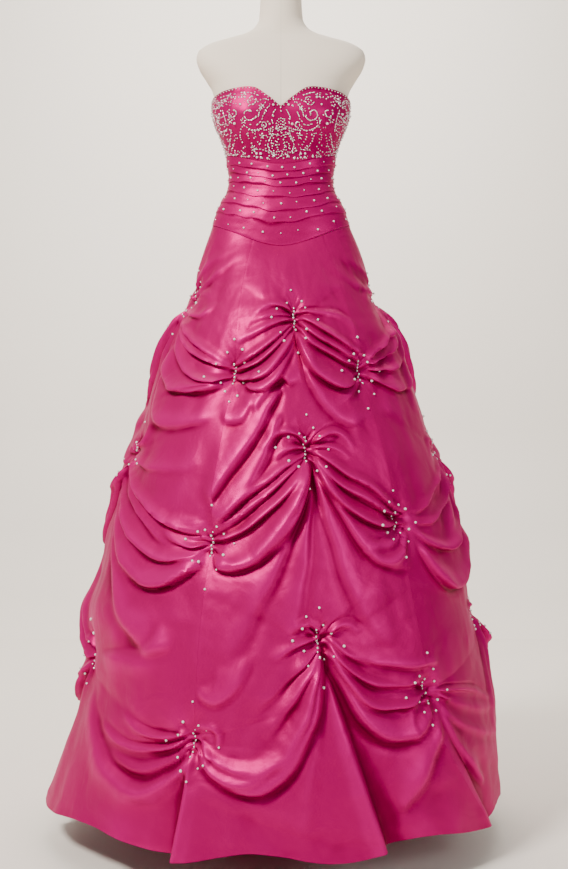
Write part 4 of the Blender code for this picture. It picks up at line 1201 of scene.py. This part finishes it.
# ------------------------------------------------------------------ materials
def node_group(name, inputs, outputs):
    """An empty shader node group with the given sockets, and its two ends."""
    group = bpy.data.node_groups.new(name, "ShaderNodeTree")
    for label, kind, default in inputs:
        socket = group.interface.new_socket(name=label, in_out="INPUT", socket_type=kind)
        socket.default_value = default
    for label, kind in outputs:
        group.interface.new_socket(name=label, in_out="OUTPUT", socket_type=kind)
    return group, group.nodes.new("NodeGroupInput"), group.nodes.new("NodeGroupOutput")


def add_node(tree, kind, values=(), **settings):
    """A shader node with its settings and the values of its sockets."""
    node = tree.nodes.new("ShaderNode" + kind)
    for name, value in settings.items():
        setattr(node, name, value)
    for socket, value in dict(values).items():
        node.inputs[socket].default_value = value
    return node


def add_noise(tree, scale, kind="FBM", **values):
    """Noise over the piece's own coordinates."""
    where = add_node(tree, "TexCoord")
    noise = add_node(tree, "TexNoise", {"Scale": scale, **values}, noise_type=kind)
    tree.links.new(where.outputs["Object"], noise.inputs["Vector"])
    return noise.outputs["Fac"]


def add_ramp(tree, factor, stops, interpolation="LINEAR"):
    """A colour that runs through (place, colour) stops, given from low to high."""
    ramp = add_node(tree, "ValToRGB")
    ramp.color_ramp.interpolation = interpolation
    for place, _ in stops[1:-1]:
        ramp.color_ramp.elements.new(place)
    for element, (place, colour) in zip(ramp.color_ramp.elements, stops):
        element.position = place
        element.color = (*colour, 1)
    tree.links.new(factor, ramp.inputs["Fac"])
    return ramp.outputs["Color"]


def new_material(name):
    """A material, its node tree and its shader."""
    material = bpy.data.materials.new(name)
    material.use_nodes = True
    tree = material.node_tree
    return material, tree, tree.nodes["Principled BSDF"]


def cloth_group():
    """Weave and small creases: puts out a mask that varies over the cloth and a normal."""
    group = bpy.data.node_groups.get("cloth surface")
    if group:
        return group
    group, start, end = node_group(
        "cloth surface",
        (("Weave scale", "NodeSocketFloat", 900.0), ("Weave depth", "NodeSocketFloat", 0.2),
         ("Crease depth", "NodeSocketFloat", 0.3)),
        (("Mask", "NodeSocketFloat"), ("Normal", "NodeSocketVector")))
    link = group.links.new
    flat = add_node(group, "UVMap", uv_map="cloth")
    weave = add_node(group, "TexWave", {"Distortion": 0.8, "Detail": 1.0}, wave_type="BANDS",
                     bands_direction="DIAGONAL")
    link(flat.outputs["UV"], weave.inputs["Vector"])
    link(start.outputs["Weave scale"], weave.inputs["Scale"])
    crease = add_noise(group, 14.0, Detail=3.0, Roughness=0.45, Distortion=1.2)
    crush = add_noise(group, 15.0, "RIDGED_MULTIFRACTAL", Detail=3.0, Distortion=0.6)
    both = add_node(group, "Math", {1: 0.80}, operation="MULTIPLY_ADD")
    link(crush, both.inputs[0])
    link(crease, both.inputs[2])
    fold = add_node(group, "Bump", {"Distance": 0.004})
    link(start.outputs["Crease depth"], fold.inputs["Strength"])
    link(both.outputs[0], fold.inputs["Height"])
    thread = add_node(group, "Bump", {"Distance": 0.0002})
    link(start.outputs["Weave depth"], thread.inputs["Strength"])
    link(weave.outputs["Fac"], thread.inputs["Height"])
    link(fold.outputs["Normal"], thread.inputs["Normal"])
    link(add_noise(group, 5.0), end.inputs["Mask"])
    link(thread.outputs["Normal"], end.inputs["Normal"])
    return group


def cloth_material(name, tones, roughness, lustre, tint, weave, weave_depth, crease):
    """Woven cloth in three tones, a painted highlight for its crests, its level parts and painted
    shade for its hollows, which also drift a little over the cloth, with its weave and creases."""
    material = bpy.data.materials.get(name)
    if material:
        return material
    material, tree, shader = new_material(name)
    link = tree.links.new
    surface = add_node(tree, "Group", node_tree=cloth_group())
    for socket, value in (("Weave scale", weave), ("Weave depth", weave_depth),
                          ("Crease depth", crease)):
        surface.inputs[socket].default_value = value
    # Painted shade in the hollows and painted highlight on the crests, read from the points.
    fold = add_node(tree, "Attribute", attribute_name="fold")
    drift_and_painted_shade = add_node(tree, "Math", {1: CLOUD_SHARE}, operation="MULTIPLY_ADD")
    link(surface.outputs["Mask"], drift_and_painted_shade.inputs[0])
    link(fold.outputs["Fac"], drift_and_painted_shade.inputs[2])
    place = add_node(tree, "MapRange", {"From Min": -1.0 + CLOUD_SHARE / 2,
                                        "From Max": 1.0 + CLOUD_SHARE / 2})
    link(drift_and_painted_shade.outputs[0], place.inputs["Value"])
    colour = add_ramp(tree, place.outputs["Result"], tuple(zip((0.0, 0.5, 1.0), tones)), "EASE")
    link(colour, shader.inputs["Base Color"])
    link(surface.outputs["Normal"], shader.inputs["Normal"])
    shader.inputs["Roughness"].default_value = roughness
    shader.inputs["Metallic"].default_value = lustre
    shader.inputs["Specular Tint"].default_value = (*tint, 1)
    shader.inputs["Specular IOR Level"].default_value = 0.12
    return material


def add_seam_line(material, colour):
    """Draws the cover's seams, down the middle in front and behind, where its map starts and
    ends."""
    tree = material.node_tree
    link = tree.links.new
    where = add_node(tree, "UVMap", uv_map="cloth")
    split = add_node(tree, "SeparateXYZ")
    link(where.outputs["UV"], split.inputs["Vector"])
    end = math.pi * FORM_RADIUS
    wide = FORM_SEAM_WIDE / end
    place = add_node(tree, "MapRange", {"From Max": end})
    link(split.outputs["X"], place.inputs["Value"])
    white, black = (1, 1, 1), (0, 0, 0)
    line = add_ramp(tree, place.outputs["Result"],
                    ((0.0, white), (wide, black), (1 - wide, black), (1.0, white)))
    mix = add_node(tree, "Mix", data_type="RGBA")
    shader = tree.nodes["Principled BSDF"]
    link(line, mix.inputs["Factor"])
    link(shader.inputs["Base Color"].links[0].from_socket, mix.inputs["A"])
    mix.inputs["B"].default_value = (*colour, 1)
    link(mix.outputs["Result"], shader.inputs["Base Color"])


def satin():
    """Pink duchess satin with a broad, cool sheen; painted shade in its hollows, painted highlight
    on its crests.
    """
    colours = bpy.context.scene.gown_colours
    tones = (tuple(colours.satin_painted_highlight), tuple(colours.satin), tuple(colours.satin_painted_shade))
    return cloth_material("duchess satin", tones, 0.40, 0.36, (1.0, 0.0, 0.45),
                          1.0 / bpy.context.scene.gown_sizes.weave_pitch, 0.10, 0.50)


def bead_material(name, colour, metallic, roughness, coat):
    """Beads: slightly cloudy from one to the next."""
    material = bpy.data.materials.get(name)
    if material:
        return material
    material, tree, shader = new_material(name)
    dull = tuple(0.82 * c for c in colour)
    cloudy = add_ramp(tree, add_noise(tree, 220.0), ((0.35, dull), (0.65, colour)))
    tree.links.new(cloudy, shader.inputs["Base Color"])
    shader.inputs["Metallic"].default_value = metallic
    shader.inputs["Roughness"].default_value = roughness
    shader.inputs["Coat Weight"].default_value = coat
    shader.inputs["Coat Roughness"].default_value = 0.08
    return material


def silver_look():
    """Silver-lined beads."""
    colour = tuple(bpy.context.scene.gown_colours.silver)
    return bead_material("silver beads", colour, 0.60, 0.24, 0.3)


def pearl_look():
    """Pale pearls."""
    colour = tuple(bpy.context.scene.gown_colours.pearl)
    return bead_material("pearls", colour, 0.0, 0.20, 0.6)


def plain_material(name, colour, metallic, roughness, grain):
    """Stage and steel: one colour with a faint grain in its roughness."""
    material, tree, shader = new_material(name)
    shader.inputs["Base Color"].default_value = (*colour, 1)
    shader.inputs["Metallic"].default_value = metallic
    spread = add_node(tree, "MapRange", {"To Min": roughness - 0.05, "To Max": roughness + 0.05})
    tree.links.new(add_noise(tree, grain), spread.inputs["Value"])
    tree.links.new(spread.outputs["Result"], shader.inputs["Roughness"])
    return material


def see_through_behind(material):
    """Lets a backdrop be seen from its front only."""
    tree = material.node_tree
    link = tree.links.new
    facing = add_node(tree, "NewGeometry")
    clear = add_node(tree, "BsdfTransparent")
    either = add_node(tree, "MixShader")
    link(facing.outputs["Backfacing"], either.inputs["Fac"])
    link(tree.nodes["Principled BSDF"].outputs["BSDF"], either.inputs[1])
    link(clear.outputs["BSDF"], either.inputs[2])
    link(either.outputs["Shader"], tree.nodes["Material Output"].inputs["Surface"])


# ------------------------------------------------------------------ operators
class GOWN_OT_skirt(bpy.types.Operator):
    """Makes the five gores of the skirt"""

    bl_idname = "gown.skirt"
    bl_label = "Skirt"

    def execute(self, context):
        sizes = context.scene.gown_sizes
        folds = list(seen_folds()) + list(hidden_folds())
        for name, first, cells, fine in GORES:
            share = np.linspace(0, 1, cells + 1)
            half = share - COLUMN_CLUSTER * np.sin(2 * math.pi * share) / (2 * math.pi)
            u = first + np.concatenate([half, 1 + half[1:]])
            row = np.linspace(0, EVEN_ROWS[-1], EVEN_ROWS[-1] * fine + 1)
            grid_u, grid_row = np.meshgrid(u, row, indexing="ij")
            outer = evened(skirt_surface(grid_u, grid_row, folds, sizes))
            outer[0] += SEAM_GAP / 2 * unit(outer[1] - outer[0])
            outer[-1] += SEAM_GAP / 2 * unit(outer[-2] - outer[-1])
            deg, z, _ = skirt_place(grid_u, grid_row)
            uv = np.stack([np.radians(deg) * SKIRT_RADIUS, z], -1)
            area = grid_area(outer)
            cloth_piece(name + "_satin", outer, uv, satin(), sizes.cloth, name)
        return {"FINISHED"}


class GOWN_OT_bodice(bpy.types.Operator):
    """Makes the five panels of the bodice"""

    bl_idname = "gown.bodice"
    bl_label = "Bodice"

    def execute(self, context):
        sizes = context.scene.gown_sizes
        for name, start, end in PANELS:
            deg = panel_angles(start, end, BODICE_SEAM_RADIUS, sizes.bodice_step)
            down = np.linspace(0, 1, BODICE_ROWS)[None]
            outer = bodice_point(deg, down)
            uv = np.stack(np.broadcast_arrays(np.radians(deg) * BODICE_CLOTH_RADIUS,
                                              outer[..., 2]), -1)
            # The bodice's satin takes painted shade all over, deeper than the skirt's.
            cloth_piece(name + "_satin", outer, uv, satin(), sizes.cloth, name,
                        BODICE_PAINTED_SHADE)
        return {"FINISHED"}


class GOWN_OT_band(bpy.types.Operator):
    """Makes the pleated band round the waist"""

    bl_idname = "gown.band"
    bl_label = "Pleated band"

    def execute(self, context):
        sizes = context.scene.gown_sizes
        for name, start, end in BANDS:
            deg = panel_angles(start, end, BAND_SEAM_RADIUS, sizes.bodice_step)
            share = 1 - (1 - np.arange(PLEAT_STEPS) / PLEAT_STEPS) ** PLEAT_CLUSTER
            pleats = np.arange(len(PLEAT_EDGES) - 1)
            down = np.append((pleats[:, None] + share).ravel(), len(pleats))[None]
            outer = band_point(deg, down)
            uv = np.stack(np.broadcast_arrays(np.radians(deg) * BAND_CLOTH_RADIUS,
                                              outer[..., 2]), -1)
            # The band's satin takes a little painted shade all over.
            cloth_piece(name + "_satin", outer, uv, satin(), sizes.cloth, name,
                        BAND_PAINTED_SHADE)
        return {"FINISHED"}


class GOWN_OT_gather_beads(bpy.types.Operator):
    """Sews a row of beads down each gather and scatters pearls round it"""

    bl_idname = "gown.gather_beads"
    bl_label = "Beads of the gathers"

    def execute(self, context):
        sizes = context.scene.gown_sizes
        folds = list(seen_folds()) + list(hidden_folds())
        rng = np.random.default_rng(3)
        row_places, pearl_places = [], []
        for column in range(len(COLUMNS)):
            for row in range(3):
                turn, z = gather_place(column, row)
                for k in range(ROW_BEADS):
                    lean = ROW_LEAN * math.sin(1.9 * k + column)
                    row_places.append((turn + lean / mean_radius(z), z + ROW_TOP - ROW_PITCH * k))
                for k in range(sizes.scatter):
                    way = 2 * math.pi * (k + rng.uniform(-0.25, 0.25)) / sizes.scatter
                    reach = rng.uniform(*(PEARLS_NEAR if k % 3 else PEARLS_FAR))
                    across = PEARLS_ACROSS * reach * math.sin(way)
                    pearl_places.append((turn + across / mean_radius(z),
                                         z + PEARLS_UP * reach * math.cos(way)))
        for name, places, radius, stretch, look in (
                ("gather_beads", row_places, sizes.bead, 1.35, silver_look()),
                ("gather_pearls", pearl_places, sizes.pearl, 1.0, pearl_look())):
            spots, out = on_skirt(np.array(places), folds, sizes)
            along = np.tile([0.0, 0.0, 1.0], (len(spots), 1))
            scale = 1 - 0.35 * rng.random(len(spots))
            scatter_piece(name, ball(radius), spots + LIFT * radius * out, along, out, stretch,
                          scale, look)
        return {"FINISHED"}


class GOWN_OT_band_pearls(bpy.types.Operator):
    """Sews staggered rows of pearls on the pleats"""

    bl_idname = "gown.band_pearls"
    bl_label = "Pearls of the band"

    def execute(self, context):
        sizes = context.scene.gown_sizes
        rng = np.random.default_rng(9)
        pleats = len(PLEAT_EDGES) - 1
        count = round(360 / BAND_PEARL_PITCH)
        pleat, place = np.meshgrid(np.arange(pleats), np.arange(count), indexing="ij")
        shift = 0.5 * (pleat % 2) + rng.uniform(-0.12, 0.12, pleat.shape)
        deg = ((place + shift) * BAND_PEARL_PITCH).ravel()
        down = (pleat + 0.55 + rng.uniform(-0.12, 0.12, pleat.shape)).ravel()
        spots = band_point(deg, down)
        out = normals_of(band_point, deg, down, -0.05)
        scale = np.where(rng.random(len(deg)) < 0.3, 0.55, 1 - 0.2 * rng.random(len(deg)))
        along = np.tile([0.0, 0.0, 1.0], (len(spots), 1))
        radius = BAND_PEARL * sizes.pearl
        scatter_piece("band_pearls", ball(radius), spots + LIFT * radius * out, along, out, 1.0,
                      scale, pearl_look())
        return {"FINISHED"}


class GOWN_OT_embroidery(bpy.types.Operator):
    """Embroiders the bodice with scrolls, vines and a rosette of small beads"""

    bl_idname = "gown.embroidery"
    bl_label = "Embroidery"

    def execute(self, context):
        sizes = context.scene.gown_sizes
        spots = {"bead": [], "bugle": []}
        for kind, *corners, count in STITCHED_CURVES:
            path = bezier(np.reshape(corners, (4, 2)), count)
            spots[kind].append(with_direction(path))
        for kind, deg, height, wide, narrow, start, end, count in STITCHED_SCROLLS:
            turn = np.radians(np.linspace(start, end, count))
            reach = np.linspace(wide, narrow, count)
            across = np.degrees(reach * np.cos(turn) / BODICE_RADIUS_MM)
            path = np.stack([deg + across, height + reach * np.sin(turn)], -1)
            spots[kind].append(with_direction(path))
        spots["bugle"].append(flowers())
        half = {kind: np.concatenate(parts) for kind, parts in spots.items()}
        for kind, shape, stretch, look in (
                ("bead", ball(sizes.seed, 7, 4), 1.0, silver_look()),
                ("bugle", ball(0.8 * sizes.seed, 6, 4), 2.6, silver_look())):
            mirrored = half[kind] * (-1, 1, -1, 1)
            both = hand_sewn(np.concatenate([half[kind], mirrored]), len(kind))
            if kind == "bead":
                both = np.concatenate([both, rosette(), top_edge(), loose_beads()])
            sew_on_bodice("embroidery_" + kind + "s", both, shape, stretch, look)
        pearls = np.array([(side * deg, height, 0, 1) for deg, height in CLUSTER_PEARLS
                           for side in (-1, 1)], float)
        sew_on_bodice("embroidery_pearls", pearls, ball(0.75 * sizes.pearl), 1.0, pearl_look())
        return {"FINISHED"}


def with_direction(path):
    """Each spot of a path with the way the path runs there: deg, height and two slopes."""
    slope = np.gradient(path, axis=0)
    return np.concatenate([path, np.radians(slope[:, :1]) * BODICE_RADIUS_MM, slope[:, 1:]], 1)


def hand_sewn(rows, seed):
    """The rows of beads with a little unevenness in place and direction, and a few left out."""
    rng = np.random.default_rng(seed)
    rows = rows[rng.random(len(rows)) > SEWN_LEFT_OUT]
    return rows + rng.normal(0, 1, rows.shape) * SEWN_DRIFT


def flowers():
    """Petals of the small flowers: long beads that point out from each middle."""
    rows = []
    for deg, height, radius, petals in STITCHED_FLOWERS:
        turn = (np.arange(petals) + 0.3) * 2 * math.pi / petals
        across = np.degrees(radius * np.cos(turn) / BODICE_RADIUS_MM)
        rows.append(np.stack([deg + across, height + radius * np.sin(turn), np.cos(turn),
                              np.sin(turn)], -1))
    return np.concatenate(rows)


def loose_beads():
    """Single beads on a wandering grid, more of them at the sides and low in the middle."""
    rng = np.random.default_rng(17)
    pitch = math.degrees(LOOSE_PITCH / BODICE_RADIUS_MM)
    deg, height = np.meshgrid(np.arange(-92, 92, pitch), np.arange(4, 134, LOOSE_PITCH))
    deg = (deg + rng.uniform(-0.35, 0.35, deg.shape) * pitch).ravel()
    height = (height + rng.uniform(-0.35, 0.35, height.shape) * LOOSE_PITCH).ravel()
    dense = ((np.abs(deg) < 32) & (height < 62)) | (np.abs(deg) > 52)
    keep = rng.random(len(deg)) < LOOSE_SHARE + LOOSE_MORE * dense
    z = EMBROIDERY_Z + height / 1000
    keep &= (z < neckline_z(deg) - 0.005) & (z > pleat_edge_z(deg, 0) + 0.004)
    turn = rng.uniform(0, math.pi, len(deg))
    return np.stack([deg, height, np.cos(turn), np.sin(turn)], -1)[keep]


def rosette():
    """Beads of the rings at the centre front."""
    rows = []
    for radius, count in ROSETTE_RINGS:
        turn = np.arange(count) * 2 * math.pi / count
        across = np.degrees(radius * np.sin(turn) / BODICE_RADIUS_MM)
        up = ROSETTE_HEIGHT + radius * np.cos(turn)
        rows.append(np.stack([across, up, np.cos(turn), -np.sin(turn)], -1))
    return np.concatenate(rows)


def top_edge():
    """Beads that follow the top edge all round, a little below it."""
    deg = np.arange(-180 + EDGE_BEAD_PITCH / 2, 180, EDGE_BEAD_PITCH)
    height = (neckline_z(deg) - EMBROIDERY_Z) * 1000 - EDGE_BEAD_DOWN
    return np.stack([deg, height, np.ones_like(deg), np.zeros_like(deg)], -1)


def sew_on_bodice(name, rows, shape, stretch, look):
    """Beads at rows of deg, height and direction, turned along their direction."""
    deg, z = rows[:, 0], EMBROIDERY_Z + rows[:, 1] / 1000
    z = np.clip(z, pleat_edge_z(deg, 0) + 0.003, neckline_z(deg) - 0.0025)
    spots = bodice_at(deg, z)
    out = normals_of(bodice_at, deg, z, 0.0008)
    turn = np.radians(deg)
    sideways = np.stack([np.cos(turn), np.sin(turn), np.zeros_like(turn)], -1)
    along = rows[:, 2:3] * sideways + rows[:, 3:4] * np.array([0.0, 0.0, 1.0])
    lift = 0.4 * np.abs(shape[0][:, 2]).max()
    scale = np.random.default_rng(len(spots)).uniform(0.75, 1.25, len(spots))
    scatter_piece(name, shape, spots + lift * out, along, out, stretch, scale, look)


def on_skirt(places, folds, sizes):
    """Points of the skirt and its outward normals at (turn, height) places, from the surface
    at each place and at two spots 0.8 mm beside it."""
    step = 0.0008

    def point(turn, z):
        deg = np.degrees(turn)
        top = skirt_top_z(deg)
        u = column_at(deg, z)
        relief = skirt_relief(deg, z, top, u, folds, sizes)
        radius = plain_radius(deg, z, top) + relief
        return polar(deg, radius, z - DROOP * np.maximum(relief, 0))

    turn, z = places[:, 0], places[:, 1]
    here = point(turn, z)
    right = point(turn + step / mean_radius(z), z) - point(turn - step / mean_radius(z), z)
    up = point(turn, z + step) - point(turn, z - step)
    return here, unit(np.cross(right, up))


def column_at(deg, z):
    """How many columns round a place lies: the inverse of angle_at."""
    marks = np.stack([column_deg(k, z) for k in range(-1, len(COLUMNS) + 1)])
    deg = (deg - marks[0]) % 360 + marks[0]
    below = np.clip((marks <= deg).sum(0) - 1, 0, len(COLUMNS))
    low = np.take_along_axis(marks, below[None], 0)[0]
    high = np.take_along_axis(marks, below[None] + 1, 0)[0]
    return below - 1 + (deg - low) / (high - low)


class GOWN_OT_form(bpy.types.Operator):
    """Makes the covered dress form"""

    bl_idname = "gown.form"
    bl_label = "Dress form"

    def execute(self, context):
        colours = context.scene.gown_colours
        sides = FORM_SIDES
        deg = np.arange(sides)[:, None] * 360 / sides
        heights = np.array([row[0] for row in FORM_SECTIONS])
        level = np.linspace(0, len(heights) - 1, FORM_ROWS)
        z = np.interp(level, np.arange(len(heights)), heights)[::-1][None]
        outer = polar(deg, form_radius(deg, z), z)
        rows = outer.shape[1]
        points = np.concatenate([outer.reshape(-1, 3), [[0, 0, z[0, 0]], [0, 0, z[0, -1]]]])
        quads = grid_quads(sides, rows, wrap=True).tolist()
        crown, foot = len(points) - 2, len(points) - 1
        for i in range(sides):
            k = (i + 1) % sides
            quads.append((crown, i * rows, k * rows))
            quads.append((foot, k * rows + rows - 1, i * rows + rows - 1))
        cover = tuple(colours.form_cover)
        faded = tuple(0.96 * c for c in cover)
        material = cloth_material("linen cover", (cover, cover, faded), 0.62, 0.0, (1, 1, 1),
                                  700.0, 0.15, 0.05)
        add_seam_line(material, tuple(0.72 * c for c in cover))
        piece = piece_from("dress_form_cover", points, quads, material)
        around = np.abs(np.arctan2(points[:, 0], -points[:, 1]))
        add_uv(piece, np.stack([around * FORM_RADIUS, points[:, 2]], -1))
        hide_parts("dress_form")
        return {"FINISHED"}


class GOWN_OT_stand(bpy.types.Operator):
    """Gives the stand its brushed steel"""

    bl_idname = "gown.stand"
    bl_label = "Stand"

    def execute(self, context):
        steel = plain_material("brushed steel", tuple(context.scene.gown_colours.steel), 1.0,
                               0.28, 400.0)
        for name in ("stand_plate", "stand_pole", "stand_collar"):
            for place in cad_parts[name].material_slots:
                place.material = steel
        return {"FINISHED"}


class GOWN_OT_stage(bpy.types.Operator):
    """Sets the floor, the lights and the photograph's camera"""

    bl_idname = "gown.stage"
    bl_label = "Stage"

    def execute(self, context):
        scene = context.scene
        pale = plain_material("stage", tuple(scene.gown_colours.floor), 0.0, 0.45, 4.0)
        across = np.array([-STAGE_HALF, 0, STAGE_HALF])[:, None]
        flat = np.array([(-STAGE_HALF, 0.0), (0.0, 0.0), (STAGE_HALF, 0.0)])
        bend = np.array(BACKDROP)
        sheets = [np.stack(np.broadcast_arrays(across, line[None, :, 0], line[None, :, 1]), -1)
                  for line in (flat, bend)]
        points = np.concatenate([sheet.reshape(-1, 3) for sheet in sheets])
        quads = np.concatenate([grid_quads(3, len(flat)), grid_quads(3, len(bend), 9)])
        see_through_behind(pale)
        smooth_object("stage_floor", points, quads[:, ::-1].tolist(), pale)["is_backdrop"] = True
        for name, place, aim, power, size, tint in LIGHTS:
            lamp = bpy.data.lights.new(name, "AREA")
            lamp.energy = power
            lamp.size = size
            lamp.color = tint
            lit = bpy.data.objects.new(name, lamp)
            lit.location = place
            lit.rotation_euler = (Vector(aim) - Vector(place)).to_track_quat("-Z", "Y").to_euler()
            scene.collection.objects.link(lit)
        world = bpy.data.worlds.new("studio")
        world.use_nodes = True
        sky = world.node_tree.nodes["Background"]
        sky.inputs["Color"].default_value = (*SKY_TINT, 1)
        sky.inputs["Strength"].default_value = SKY_STRENGTH
        scene.world = world
        lens = bpy.data.cameras.new("camera")
        lens.sensor_width = SENSOR_MM
        lens.lens = PHOTO_FOCAL * SENSOR_MM / PHOTO_HEIGHT
        camera = bpy.data.objects.new("camera", lens)
        camera.location = (CAMERA_X, -CAMERA_DISTANCE, CAMERA_Z)
        camera.rotation_euler = (math.pi / 2, 0, 0)
        scene.collection.objects.link(camera)
        scene.camera = camera
        return {"FINISHED"}


class GOWN_PT_panel(bpy.types.Panel):
    """Lists the gown's sizes, colours and pieces"""

    bl_idname = "GOWN_PT_panel"
    bl_label = "Evening gown"
    bl_space_type = "VIEW_3D"
    bl_region_type = "UI"
    bl_category = "Gown"

    def draw(self, context):
        for group in (context.scene.gown_sizes, context.scene.gown_colours):
            for name in group.__annotations__:
                self.layout.prop(group, name)
        for kind in OPERATORS:
            self.layout.operator(kind.bl_idname)


OPERATORS = (GOWN_OT_form, GOWN_OT_bodice, GOWN_OT_band, GOWN_OT_skirt, GOWN_OT_gather_beads,
             GOWN_OT_band_pearls, GOWN_OT_embroidery, GOWN_OT_stand, GOWN_OT_stage)
CLASSES = (GownSizes, GownColours, *OPERATORS, GOWN_PT_panel)


def register():
    for kind in CLASSES:
        bpy.utils.register_class(kind)
    bpy.types.Scene.gown_sizes = PointerProperty(type=GownSizes)
    bpy.types.Scene.gown_colours = PointerProperty(type=GownColours)


def unregister():
    del bpy.types.Scene.gown_sizes
    del bpy.types.Scene.gown_colours
    for kind in reversed(CLASSES):
        bpy.utils.unregister_class(kind)


def main():
    register()
    for kind in OPERATORS:
        family, name = kind.bl_idname.split(".")
        getattr(getattr(bpy.ops, family), name)()
    boxes = {"cad": CAD_BOX, "visual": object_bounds()}
    {k: [list(map(float, p)) for p in box] for k, box in boxes.items()}


if __name__ == "__main__":
    main()
